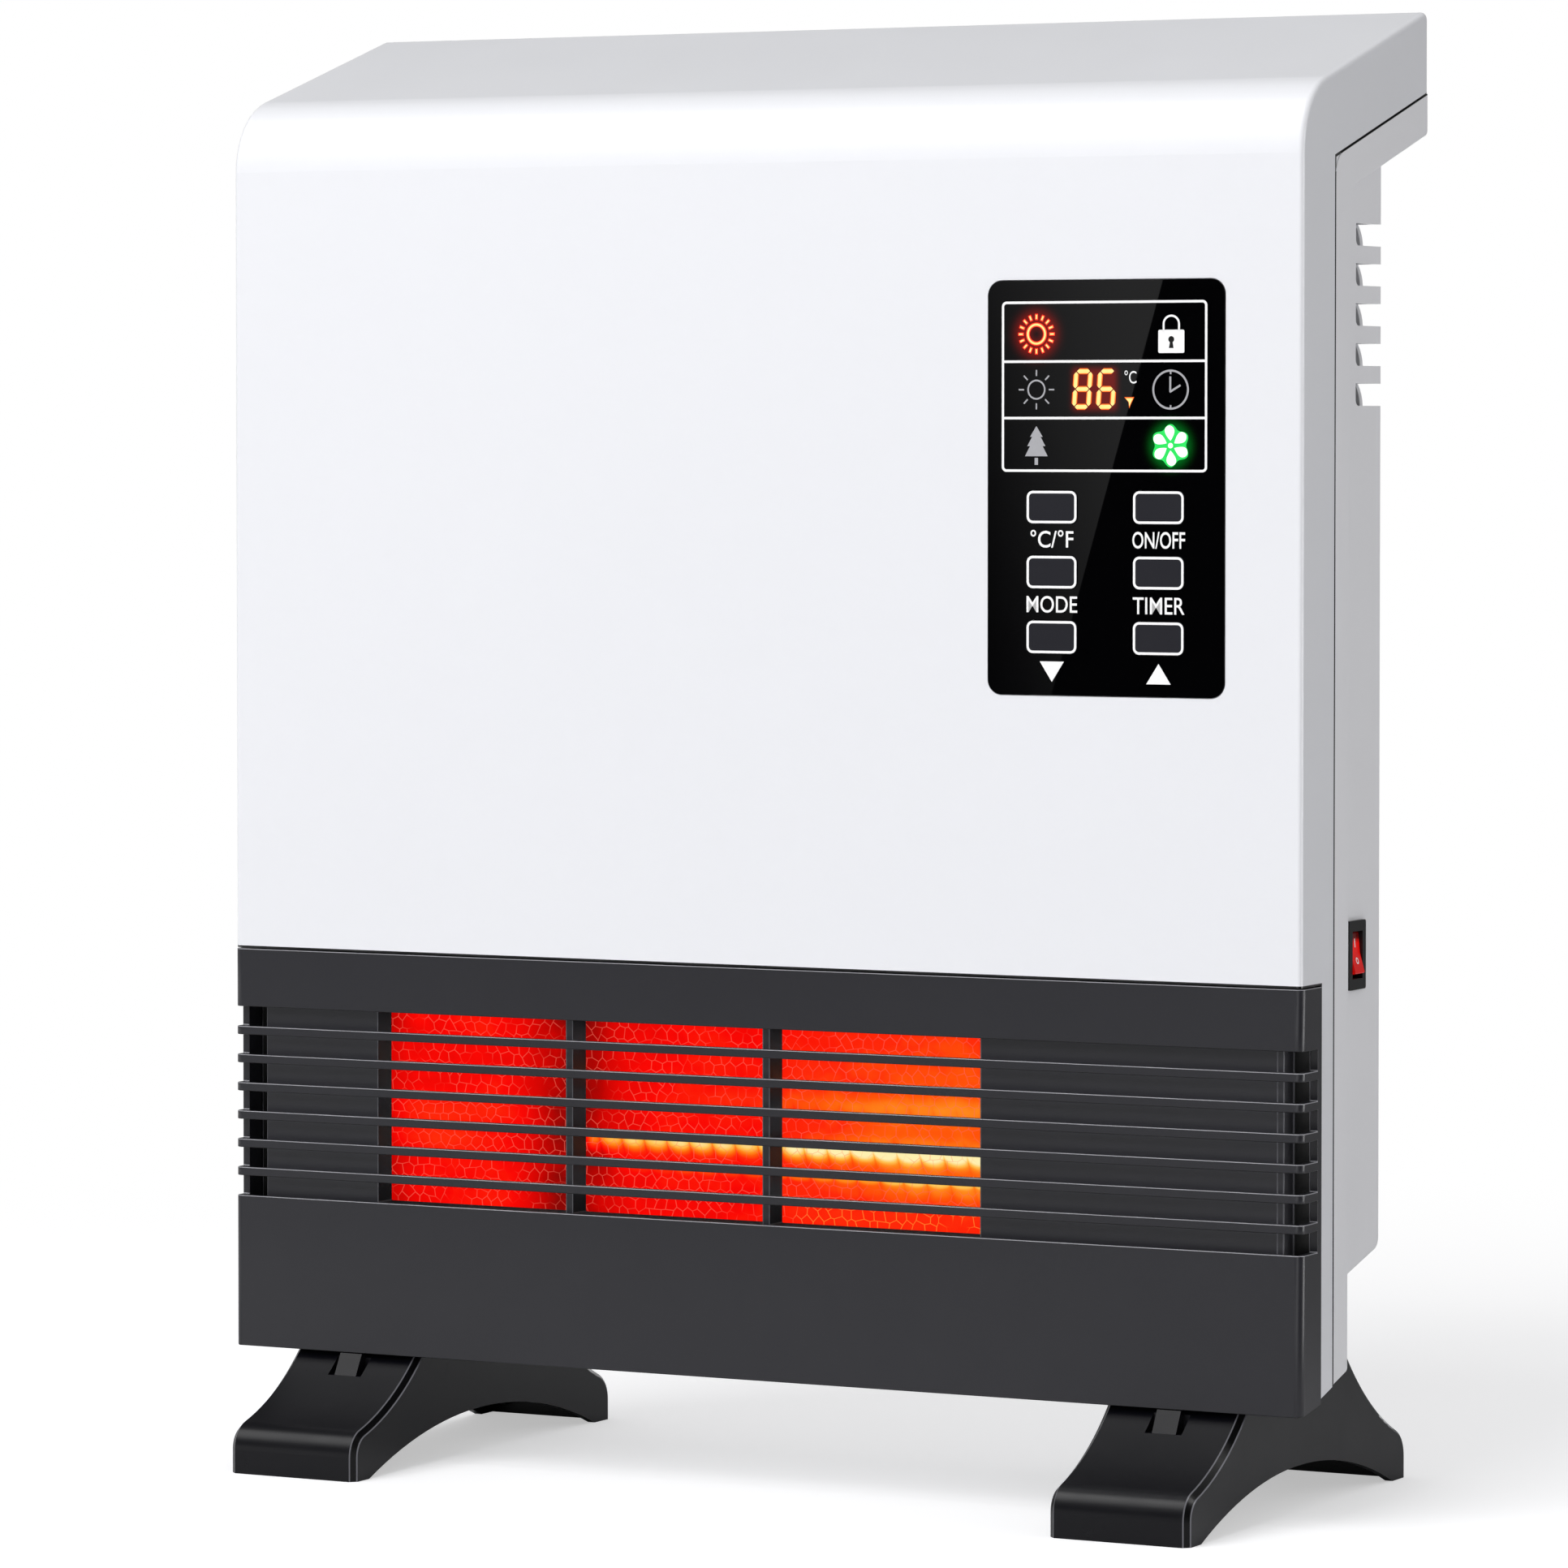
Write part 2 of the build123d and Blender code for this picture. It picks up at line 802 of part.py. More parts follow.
def make_heater_box():
    """Sheet chamber, open to the screen in front and to the fan above, with a front flange."""
    box = block(
        chamber_left, chamber_right, chamber_front, chamber_back, chamber_bottom, chamber_top
    )
    box -= block(
        chamber_left + sheet,
        chamber_right - sheet,
        chamber_front - 1,
        chamber_back - sheet,
        chamber_bottom + sheet,
        chamber_top + 1,
    )
    for side, x in ((-1, chamber_left), (1, chamber_right)):
        box += block(
            min(x, x + side * chamber_flange),
            max(x, x + side * chamber_flange),
            chamber_front,
            chamber_front + sheet,
            chamber_bottom,
            chamber_top,
        )
    return box


def tube_places():
    """Axes of the lower and upper tube, in Y and Z."""
    return [(tube_front, tube_mid_z - tube_pitch / 2), (tube_front, tube_mid_z + tube_pitch / 2)]


def bracket_plate(x0):
    """One sheet bracket with square holes for the tube caps and a foot on the chamber's floor."""
    y0 = chamber_front + 2 * sheet
    y1 = chamber_back - 2 * sheet
    z0 = chamber_bottom + sheet
    plate = block(x0, x0 + sheet, y0, y1, z0, chamber_top - 2 * sheet)
    plate += block(x0, x0 + 6 * sheet, y0, y1, z0, z0 + sheet)
    half = cap_size / 2 + cap_clearance
    for y, z in tube_places():
        plate -= block(x0 - 1, x0 + 7 * sheet, y - half, y + half, z - half, z + half)
    return plate


bracket_xs = (chamber_left + bracket_inset, chamber_right - bracket_inset - sheet)
cap_ends = (bracket_xs[0] + sheet / 2 - cap_length / 2, bracket_xs[1] + sheet / 2 + cap_length / 2)


def make_tube_caps():
    """Four ceramic caps, each with a bore that takes a tube's end."""
    caps = []
    half = cap_size / 2
    for y, z in tube_places():
        for direction, x in ((1, cap_ends[0]), (-1, cap_ends[1])):
            near, far = sorted((x, x + direction * cap_length))
            cap = block(near, far, y - half, y + half, z - half, z + half)
            mouth = x + direction * cap_length
            near, far = sorted((mouth + direction, mouth - direction * tube_insertion))
            caps.append(cap - rod_x(tube_radius + cap_clearance, near, far, y, z))
    return caps


tube_left = cap_ends[0] + cap_length - tube_insertion + cap_clearance
tube_right = cap_ends[1] - cap_length + tube_insertion - cap_clearance


def make_tube(place):
    """A quartz tube."""
    y, z = place
    tube = rod_x(tube_radius, tube_left, tube_right, y, z)
    return tube - rod_x(tube_bore, tube_left - 1, tube_right + 1, y, z)


def make_filament(place):
    """The envelope of one heating coil, which runs the length of its tube."""
    y, z = place
    core = rod_x(filament_radius, tube_left, tube_right, y, z)
    for number in range(5):
        x = tube_left + (number + 0.5) * (tube_right - tube_left) / 5
        core += rod_x(tube_bore - cap_clearance, x, x + sheet, y, z)
    return core


def make_reflector():
    """Polished double trough behind the tubes."""
    outer = Sketch()
    inner = Sketch()
    for y, z in tube_places():
        outer += Pos(y, z) * Circle(reflector_radius + reflector_wall)
        inner += Pos(y, z) * Circle(reflector_radius)
    front = tube_front - tube_radius
    reach = reflector_radius + 2 * reflector_wall
    behind = Pos(front + reach, tube_mid_z) * Rectangle(2 * reach, 6 * reflector_radius)
    trough = (outer - inner) & behind
    gap = 0.3
    return side_slab(trough, bracket_xs[0] + 6 * sheet + gap, bracket_xs[1] - gap)


def make_thermal_cutout():
    """Bimetal cut-out on the chamber's left wall, with two blade terminals."""
    y = (chamber_front + chamber_back) / 2
    z = chamber_top - 2 * cutout_radius
    body = rod_x(cutout_radius, chamber_left - cutout_height, chamber_left, y, z)
    for side in (-1, 1):
        middle = y + side * cutout_radius / 2
        body += block(
            chamber_left - cutout_height - tab_length,
            chamber_left - cutout_height + tab_thickness,
            middle - tab_thickness / 2,
            middle + tab_thickness / 2,
            z - tab_width / 2,
            z + tab_width / 2,
        )
    return body


def make_fan_scroll():
    """Fan casing: curved back wall, front tongue and two end plates, on top of the chamber."""
    arc_radius = fan_radius + scroll_gap
    back_end = radians(60)
    outer = arc_radius + scroll_wall
    ring = Pos(fan_depth, fan_z) * (Circle(outer) - Circle(arc_radius))
    keep_y = fan_depth + arc_radius * cos(back_end)
    low_z = fan_z - outer * sin(back_end)
    keep = Pos(keep_y + outer / 2, (low_z + scroll_top) / 2) * Rectangle(
        outer, scroll_top - low_z
    )
    wall = ring & keep
    wall += make_face(
        Polyline(
            (keep_y, low_z),
            (keep_y + scroll_wall / 2, low_z + 2),
            (keep_y + 2 * scroll_wall, low_z + 2),
            (keep_y + scroll_wall, low_z),
            (chamber_back, chamber_top),
            (chamber_back - sheet, chamber_top),
            close=True,
        )
    )
    tongue_y = chamber_front + 2 * sheet
    tongue_top = fan_z - fan_radius / 2
    wall_tongue = make_face(
        Polyline(
            (tongue_y, chamber_top),
            (tongue_y, tongue_top),
            (fan_depth - arc_radius - scroll_wall, tongue_top),
            (fan_depth - arc_radius - scroll_wall, tongue_top - 3 * scroll_wall),
            (tongue_y + scroll_wall, tongue_top - 6 * scroll_wall),
            (tongue_y + scroll_wall, chamber_top),
            close=True,
        )
    )
    casing = side_slab(wall, chamber_left, chamber_right)
    casing += side_slab(wall_tongue, chamber_left, chamber_right)
    end_face = make_face(
        Polyline(
            (tongue_y, chamber_top),
            (tongue_y, scroll_top),
            (fan_depth + outer, scroll_top),
            (fan_depth + outer, low_z),
            (chamber_back, chamber_top),
            close=True,
        )
    )
    casing += side_slab(end_face, chamber_left, chamber_left + scroll_wall)
    casing += side_slab(end_face, chamber_right - scroll_wall, chamber_right)
    casing -= rod_x(
        bush_radius + screw_clearance, chamber_left - 1, chamber_left + 3, fan_depth, fan_z
    )
    return casing - rod_x(
        2 * shaft_radius, chamber_right - 3, chamber_right + 1, fan_depth, fan_z
    )


fan_left = chamber_left + scroll_wall + fan_end_gap
fan_right = chamber_right - scroll_wall - fan_end_gap


def make_fan_rotor():
    """Cross-flow impeller: curved blades between three discs."""
    blade_face = Sketch()
    mid = (fan_inner_radius + fan_radius) / 2
    tip = fan_radius - fan_blade_thickness
    bow = fan_blade_thickness
    for number in range(fan_blades):
        turn = Rot(0, 0, number * 360 / fan_blades)
        blade = make_face(
            ThreePointArc((fan_inner_radius, 0), (mid, bow), (tip, 0))
            + Line((tip, 0), (tip, fan_blade_thickness))
            + ThreePointArc(
                (tip, fan_blade_thickness),
                (mid, bow + fan_blade_thickness),
                (fan_inner_radius, fan_blade_thickness),
            )
            + Line((fan_inner_radius, fan_blade_thickness), (fan_inner_radius, 0))
        )
        blade_face += turn * blade
    rotor = side_slab(Pos(fan_depth, fan_z) * blade_face, fan_left, fan_right)
    middle = (fan_left + fan_right - fan_disc) / 2
    for x in (fan_left, middle, fan_right - fan_disc):
        rotor += rod_x(fan_radius, x, x + fan_disc, fan_depth, fan_z)
    for x, direction in ((fan_left, 1), (fan_right, -1)):
        near, far = sorted((x, x + direction * 8 * fan_disc))
        rotor += rod_x(2.5 * shaft_radius, near, far, fan_depth, fan_z)
    bore = shaft_radius + shaft_clearance
    return rotor - rod_x(bore, fan_left - 1, fan_right + 1, fan_depth, fan_z)


stator_x0 = motor_x
stator_x1 = motor_x + stator_thickness
shaft_left = chamber_left - bush_length + scroll_wall
shaft_right = stator_x1 + motor_gap


def make_motor_stator():
    """Laminated stator: a plate with the rotor's bore above and the coil's window below."""
    top = fan_z + stator_width / 2
    bottom = top - stator_height
    leg = coil_wall + 3
    stack = block(
        stator_x0,
        stator_x1,
        fan_depth - stator_width / 2,
        fan_depth + stator_width / 2,
        bottom,
        top,
    )
    stack -= rod_x(stator_bore, stator_x0 - 1, stator_x1 + 1, fan_depth, fan_z)
    stack -= block(
        stator_x0 - 1,
        stator_x1 + 1,
        fan_depth - stator_width / 2 + coil_wall,
        fan_depth + stator_width / 2 - coil_wall,
        bottom + leg,
        bottom + leg + coil_wall + 2,
    )
    for side in (-1, 1):
        y = fan_depth + side * (stator_width / 2 - 4)
        stack -= rod_x(screw_radius + screw_clearance, stator_x0 - 1, stator_x1 + 1, y, top - 4)
    return stack


def make_motor_coil():
    """Coil round the stator's lower leg."""
    bottom = fan_z + stator_width / 2 - stator_height
    leg = coil_wall + 3
    half_y = stator_width / 2 - coil_wall - 1
    fit = 0.2
    coil = block(
        stator_x0 - coil_wall,
        stator_x1 + coil_wall,
        fan_depth - half_y,
        fan_depth + half_y,
        bottom - coil_wall,
        bottom + leg + coil_wall,
    )
    coil = fillet(coil.edges().filter_by(Axis.Y), 2)
    return coil - block(
        stator_x0 - fit,
        stator_x1 + fit,
        fan_depth - half_y - 1,
        fan_depth + half_y + 1,
        bottom - fit,
        bottom + leg + fit,
    )


def make_motor_rotor():
    """Squirrel-cage rotor on the fan's shaft."""
    radius = stator_bore - rotor_air_gap
    body = rod_x(radius, stator_x0, stator_x1, fan_depth, fan_z)
    bore = shaft_radius + shaft_clearance
    return body - rod_x(bore, stator_x0 - 1, stator_x1 + 1, fan_depth, fan_z)


def make_motor_bracket():
    """Two bridges across the stator that hold the shaft's bearings."""
    bridges = []
    z = fan_z
    top = fan_z + stator_width / 2
    for face, direction in ((stator_x0, -1), (stator_x1, 1)):
        near, far = sorted((face, face + direction * bridge_thickness))
        bridge = block(
            near,
            far,
            fan_depth - stator_width / 2,
            fan_depth + stator_width / 2,
            z - bridge_height / 2,
            top,
        )
        hub_near, hub_far = sorted((face + direction * 0.4, face + direction * (motor_gap - 1)))
        bridge += rod_x(bush_radius, hub_near, hub_far, fan_depth, z)
        bridge -= rod_x(shaft_radius + shaft_clearance, near - motor_gap, far + motor_gap, fan_depth, z)
        for side in (-1, 1):
            y = fan_depth + side * (stator_width / 2 - 4)
            bridge -= rod_x(screw_radius + screw_clearance, near - 1, far + 1, y, top - 4)
        bridges.append(bridge)
    return bridges


def make_motor_screws():
    """Two long screws through bridges and stator, on spacers against the fan casing."""
    screws = []
    z = fan_z + stator_width / 2 - 4
    for side in (-1, 1):
        y = fan_depth + side * (stator_width / 2 - 4)
        far = stator_x1 + bridge_thickness
        screw = rod_x(screw_radius, chamber_right, far, y, z)
        screw += rod_x(screw_head_radius, chamber_right, stator_x0 - bridge_thickness, y, z)
        screws.append(screw + rod_x(screw_head_radius, far, far + screw_head_height, y, z))
    return screws


def make_control_overlay():
    """The glossy panel, with a hole for each key."""
    face = Pos(panel_x, panel_z) * RectangleRounded(panel_width, panel_height, panel_radius)
    for x, z in key_places():
        face -= key_outline(x, z, key_fit)
    return front_slab(face, overlay_front, panel_recess)


def make_key(place):
    """One key: a cap through overlay and cover, with a flange that keeps it in."""
    x, z = place
    cap = front_slab(key_outline(x, z), overlay_front - key_proud, key_back)
    collar = front_slab(
        key_outline(x, z, key_fit + key_flange), cover_wall + key_seat, key_back
    )
    return cap + collar


def make_tact_switches():
    """Six small switches on the board, one behind each key."""
    switches = []
    half = tact_size / 2
    body_front = tact_front + tact_stem_height
    for x, z in key_places():
        body = block(x - half, x + half, body_front, board_front, z - half, z + half)
        switches.append(body + rod_y(tact_stem_radius, tact_front, body_front, x, z))
    return switches


def make_display_module():
    """The lit display on the board, seen through the panel."""
    fit = 0.5
    return front_slab(display_opening(-fit), panel_recess + fit, board_front)


def make_control_board():
    """The panel's circuit board."""
    half_x = panel_width / 2 - board_margin
    half_z = panel_height / 2 - board_margin
    board = block(
        panel_x - half_x, panel_x + half_x, board_front, board_back, panel_z - half_z, panel_z + half_z
    )
    for x, z in board_screw_places():
        board -= rod_y(small_screw_radius + screw_clearance, board_front - 1, board_back + 1, x, z)
    return board


def make_board_screws():
    """Small screws of both boards."""
    screws = []
    for x, z in board_screw_places():
        shank = rod_y(small_screw_radius, cover_wall + 2, board_back, x, z)
        head = rod_y(small_head_radius, board_back, board_back + small_head_height, x, z)
        screws.append(shank + head)
    front = housing_inner_back - power_board_standoff - board_thickness
    for x, z in power_screw_places():
        shank = rod_y(small_screw_radius, front, housing_inner_back - 2, x, z)
        head = rod_y(small_head_radius, front - small_head_height, front, x, z)
        screws.append(shank + head)
    return screws


power_front = housing_inner_back - power_board_standoff - board_thickness


def make_power_board():
    """The mains board on the housing's standoffs."""
    half_x = power_board_width / 2
    half_z = power_board_height / 2
    z = foot_height + power_board_rise
    board = block(
        power_board_x - half_x,
        power_board_x + half_x,
        power_front,
        power_front + board_thickness,
        z - half_z,
        z + half_z,
    )
    for x, z in power_screw_places():
        board -= rod_y(small_screw_radius + screw_clearance, power_front - 1, housing_back, x, z)
    return board


def standing_part(x, width, z, height, depth):
    """A boxed component on the mains board's front."""
    return block(
        x - width / 2, x + width / 2, power_front - depth, power_front, z - height / 2, z + height / 2
    )


def make_power_parts():
    """What stands on the mains board: two relays, a transformer, a capacitor and two connectors."""
    x = power_board_x
    left = x - power_board_width / 2 + 2 * board_screw_inset
    right = x + power_board_width / 2 - 2 * board_screw_inset
    z = foot_height + power_board_rise
    top = z + power_board_height / 2 - part_margin
    bottom = z - power_board_height / 2 + part_margin
    parts = [
        standing_part(left + transformer_width / 2, transformer_width, z, transformer_height,
                      transformer_depth),
        rod_y(capacitor_radius, power_front - capacitor_depth, power_front, right - capacitor_radius, z),
    ]
    for side in (-1, 1):
        relay_x = x + side * relay_pitch / 2
        relay_z = top - relay_height / 2
        parts.append(standing_part(relay_x, relay_width, relay_z, relay_height, relay_depth))
        plug_x = x + side * (connector_width + part_margin) / 2
        plug_z = bottom + connector_height / 2
        parts.append(
            standing_part(plug_x, connector_width, plug_z, connector_height, connector_depth)
        )
    return parts


def make_switch_body():
    """The switch's black body, its flange on the housing and the well that the rocker sits in."""
    half_y = switch_width / 2
    half_z = switch_height / 2
    flange = block(
        housing_half,
        switch_face,
        switch_depth - half_y,
        switch_depth + half_y,
        switch_z - half_z,
        switch_z + half_z,
    )
    flange = fillet(flange.edges().filter_by(Axis.X), 0.8)
    body = flange + block(
        housing_half - switch_body_depth,
        housing_half,
        switch_depth - half_y + switch_rim,
        switch_depth + half_y - switch_rim,
        switch_z - half_z + switch_rim,
        switch_z + half_z - switch_rim,
    )
    body -= block(
        switch_face - switch_well_depth,
        switch_face + 1,
        switch_depth - switch_well_width / 2,
        switch_depth + switch_well_width / 2,
        switch_z - switch_well_height / 2,
        switch_z + switch_well_height / 2,
    )
    pin = rocker_pin_radius + shaft_clearance
    reach = switch_well_width / 2 + 1
    return body - rod_y(
        pin, switch_depth - reach, switch_depth + reach, switch_face - rocker_pivot_depth, switch_z
    )


def make_switch_rocker():
    """The red rocker on its pivot pins, tilted with its upper end pressed in."""
    end = rocker_end_height
    face = make_face(
        Polyline(
            (end, -rocker_half),
            (end - rocker_dip, 0),
            (end, rocker_half),
            (0.5 * end, rocker_half),
            (-0.6 * end, 0.6 * rocker_half),
            (-0.6 * end, -0.6 * rocker_half),
            (0.5 * end, -rocker_half),
            close=True,
        )
    )
    half = switch_well_width / 2 - rocker_side_gap
    rocker = extrude(Plane.XZ.offset(-half) * face, 2 * half)
    rocker = fillet(rocker.edges().filter_by(Axis.Y).sort_by(Axis.X)[-3:], 0.5)
    reach = switch_well_width / 2 + 0.8
    rocker += rod_y(rocker_pin_radius, -reach, reach, 0, 0)
    pivot = Pos(switch_face - rocker_pivot_depth, switch_depth, switch_z)
    return pivot * Rot(0, -rocker_tilt, 0) * rocker


def make_switch_tabs():
    """The switch's three blade terminals."""
    tabs = []
    x = housing_half - switch_body_depth
    for number in (-1, 0, 1):
        z = switch_z + number * switch_height / 4
        tabs.append(
            block(
                x - tab_length,
                x,
                switch_depth - tab_width / 2,
                switch_depth + tab_width / 2,
                z - tab_thickness / 2,
                z + tab_thickness / 2,
            )
        )
    return tabs


def make_cord_bush():
    """The bush of the cord's inlet, in the housing's back wall."""
    z = foot_height + inlet_rise
    fit = 0.1
    bush = rod_y(inlet_radius - fit, housing_inner_back - 3, housing_back, inlet_x, z)
    bush += rod_y(inlet_radius + 2, housing_back, housing_back + inlet_flange, inlet_x, z)
    bush += rod_y(inlet_radius + 1, housing_inner_back - 3, housing_inner_back, inlet_x, z)
    return bush - rod_y(
        inlet_bore, housing_inner_back - 4, housing_back + inlet_flange + 1, inlet_x, z
    )


def make_terminal_block():
    """Three-way terminal block on the housing's back wall."""
    z = foot_height + terminal_rise
    body = block(
        inlet_x - terminal_width / 2,
        inlet_x + terminal_width / 2,
        housing_inner_back - terminal_depth,
        housing_inner_back,
        z,
        z + terminal_height,
    )
    for number in (-1, 0, 1):
        x = inlet_x + number * terminal_width / 3.2
        front = housing_inner_back - terminal_depth
        body -= rod_y(2.2, front - 1, front + 4, x, z + terminal_height / 2)
    return body


tip_x0 = chamber_right
tip_x1 = chamber_right + tip_span
tip_z = foot_height + tip_rise


def make_tip_switch():
    """Bracket of the tip-over switch on the chamber's wall, with the pendulum's pin."""
    half = tip_width / 2
    drop = tip_arm / 2
    bracket = block(
        tip_x0, tip_x0 + 1.5, tip_depth - half, tip_depth + half, tip_z - drop, tip_z + half
    )
    bracket += block(
        tip_x1 - 1.5, tip_x1, tip_depth - half, tip_depth + half, tip_z - half, tip_z + half
    )
    bracket += block(
        tip_x0, tip_x1, tip_depth - half, tip_depth + half, tip_z + half - 1.5, tip_z + half
    )
    return bracket + rod_x(tip_pin_radius, tip_x0 + 1, tip_x1 - 1, tip_depth, tip_z)


def make_tip_pendulum():
    """The weight that swings on the pin when the heater tips."""
    middle = (tip_x0 + tip_x1) / 2
    half = tip_weight_thickness / 2
    weight = rod_x(
        tip_weight_radius, middle - half, middle + half, tip_depth, tip_z - tip_arm
    )
    weight += block(
        middle - 1.5, middle + 1.5, tip_depth - 2, tip_depth + 2, tip_z - tip_arm, tip_z
    )
    reach = tip_span / 2 - 2
    weight += rod_x(2 * tip_pin_radius, middle - reach, middle + reach, tip_depth, tip_z)
    return weight - rod_x(
        tip_pin_radius + shaft_clearance, tip_x0, tip_x1, tip_depth, tip_z
    )


def foot_profile():
    """Side outline of a foot: toe, front slope, saddle under the body, tail slope and arch."""
    toe_top = (-foot_toe, toe_height)
    slope_top = (foot_front_y, bezel_underside_z(foot_front_y) - foot_gap)
    saddle = [
        slope_top,
        (bezel_depth, bezel_underside_z(bezel_depth) - foot_gap),
        (frame_back + foot_gap, underside_z(frame_back) - foot_gap),
        (frame_back + foot_gap, housing_floor_z(frame_back) - foot_gap),
        (tail_top_y, housing_floor_z(tail_top_y) - foot_gap),
    ]
    tail_end = (foot_tail, tail_height)
    arch_start = (foot_tail - arch_back, 0)
    arch_end = (arch_front - foot_toe, 0)
    arch_top = ((arch_start[0] + arch_end[0]) / 2, arch_height)
    face = make_face(
        SagittaArc(toe_top, slope_top, -front_slope_sagitta)
        + Polyline(*saddle)
        + SagittaArc(saddle[-1], tail_end, -tail_slope_sagitta)
        + Polyline(tail_end, (foot_tail, 0), arch_start)
        + ThreePointArc(arch_start, arch_top, arch_end)
        + Polyline(arch_end, (-foot_toe, 0), toe_top)
    )
    vertices = face.vertices()
    toe = vertices.sort_by_distance((toe_top[0], toe_top[1], 0))[0]
    face = fillet(toe, toe_radius)
    tail = face.vertices().sort_by_distance((tail_end[0], tail_end[1], 0))[0]
    return fillet(tail, tail_radius)


def make_foot(side):
    """One foot: a hollow moulding with arched sides, a snap tongue in its notch and screw bosses."""
    half = foot_width / 2
    profile = foot_profile()
    shell = side_slab(profile, -half, half)

    def on_toe_edge(edge):
        middle = edge.center()
        on_side = abs(abs(middle.X) - half) < 0.01
        return on_side and middle.Y < foot_front_y and middle.Z > 1 and on_front_chain(middle)

    def on_front_chain(point):
        arch_z = arch_height * (1 - ((point.Y - origin_y) / (foot_tail - origin_y)) ** 2)
        return point.Z > arch_z + 2 or point.Y < 1 - foot_toe

    def on_tail_edge(edge):
        middle = edge.center()
        on_side = abs(abs(middle.X) - half) < 0.01
        return on_side and middle.Y > tail_top_y and middle.Z > 1 and on_front_chain(middle)

    solid = chamfer(shell.edges().filter_by(on_toe_edge), toe_chamfer)
    solid = fillet(solid.edges().filter_by(on_tail_edge), tail_edge_radius)
    inner = offset(profile, -foot_wall, kind=Kind.INTERSECTION)
    hollow = side_slab(inner, foot_wall - half, half - foot_wall)
    hollow += Pos(0, 0, -1.5 * foot_wall) * hollow
    cavity = hollow & solid
    foot = solid - hollow
    pad = block(
        -notch_width / 2 - foot_wall,
        notch_width / 2 + foot_wall,
        -foot_toe,
        foot_front_y + 2 * foot_wall,
        foot_height - tongue_drop - 2 * foot_wall,
        foot_height + foot_wall,
    )
    foot += pad & cavity
    notch_z = foot_height - tongue_drop
    foot -= block(
        -notch_width / 2, notch_width / 2, -foot_toe, notch_floor, notch_z, foot_height + foot_wall
    )
    tongue_face = make_face(
        Polyline(
            (-4.0, notch_z - 0.5),
            (0, foot_height - foot_gap),
            (notch_floor + 1, foot_height - foot_gap),
            (notch_floor + 1, notch_z - 0.5),
            close=True,
        )
    )
    foot += side_slab(tongue_face, -tongue_width / 2, tongue_width / 2)
    rib = block(
        -foot_rib / 2, foot_rib / 2, tail_top_y, foot_tail - foot_wall / 2, arch_height / 2, foot_height
    )
    foot += rib & cavity
    y = (strip_front + frame_back) / 2
    for i in (-1, 1):
        x = i * foot_width / 4
        seat = underside_z(y) - 4 * foot_wall
        post = rod_z(boss_radius, seat, underside_z(y) + foot_wall, x, y)
        foot += post & solid
        foot -= rod_z(screw_radius + screw_clearance, seat - 1, foot_height + 4 * foot_wall, x, y)
    return Pos(side * foot_x, 0, 0) * foot


def make_foot_screws():
    """Four upright screws, from the feet's bosses into the frame."""
    screws = []
    for x, y in foot_screw_places():
        seat = underside_z(y) - 4 * foot_wall
        shank = rod_z(screw_radius, seat, underside_z(y) + 2 * frame_wall, x, y)
        screws.append(shank + rod_z(screw_head_radius, seat - screw_head_height, seat, x, y))
    return screws


def make_housing_screws():
    """Six screws through the housing's pillars into the frame."""
    screws = []
    for side in (-1, 1):
        for rise in pillar_rises:
            x = side * pillar_x
            z = foot_height + rise
            seat = housing_inner_back
            shank = rod_y(screw_radius, frame_back - frame_wall - 2, seat, x, z)
            screws.append(shank + rod_y(screw_head_radius, seat, seat + screw_head_height, x, z))
    return screws


def make_cover_screws():
    """Four screws through the frame's back wall into the cover's bosses."""
    screws = []
    for side in (-1, 1):
        for rise in cover_boss_rises:
            x = side * pillar_x
            z = foot_height + rise
            shank = rod_y(screw_radius, frame_front + 1, frame_back, x, z)
            head = rod_y(screw_head_radius, frame_back, frame_back + screw_head_height, x, z)
            screws.append(shank + head)
    return screws


save("front_cover", make_front_cover())
save("back_frame", make_back_frame())
save("rear_housing", make_rear_housing())
save("grille_bezel", make_grille_bezel())
save("louvre_backplate", make_louvre_backplate())
save("honeycomb_screen", make_honeycomb_screen())

save("heater_box", make_heater_box())
save("tube_bracket_left", bracket_plate(bracket_xs[0]))
save("tube_bracket_right", bracket_plate(bracket_xs[1]))
save("tube_caps", *make_tube_caps())
save("quartz_tube_lower", make_tube(tube_places()[0]))
save("quartz_tube_upper", make_tube(tube_places()[1]))
save("filaments", *[make_filament(place) for place in tube_places()])
save("reflector", make_reflector())
save("thermal_cutout", make_thermal_cutout())

save("fan_scroll", make_fan_scroll())
save("fan_rotor", make_fan_rotor())
save("fan_shaft", rod_x(shaft_radius, shaft_left, shaft_right, fan_depth, fan_z))
bush = rod_x(bush_radius, shaft_left, shaft_left + bush_length, fan_depth, fan_z)
bush_hole = rod_x(shaft_radius + shaft_clearance, shaft_left - 1, fan_left, fan_depth, fan_z)
save("fan_bush", bush - bush_hole)
save("motor_stator", make_motor_stator())
save("motor_coil", make_motor_coil())
save("motor_rotor", make_motor_rotor())
save("motor_bracket", *make_motor_bracket())
save("motor_screws", *make_motor_screws())

save("control_overlay", make_control_overlay())
save("display_module", make_display_module())
save("control_board", make_control_board())
save("tact_switches", *make_tact_switches())
key_names = ("key_unit", "key_power", "key_mode", "key_timer", "key_down", "key_up")
for name, place in zip(key_names, key_places()):
    save(name, make_key(place))
save("board_screws", *make_board_screws())

save("power_board", make_power_board())
save("power_parts", *make_power_parts())
save("terminal_block", make_terminal_block())
save("cord_bush", make_cord_bush())
save("switch_body", make_switch_body())
save("switch_rocker", make_switch_rocker())
save("switch_tabs", *make_switch_tabs())
save("tip_switch", make_tip_switch())
save("tip_pendulum", make_tip_pendulum())

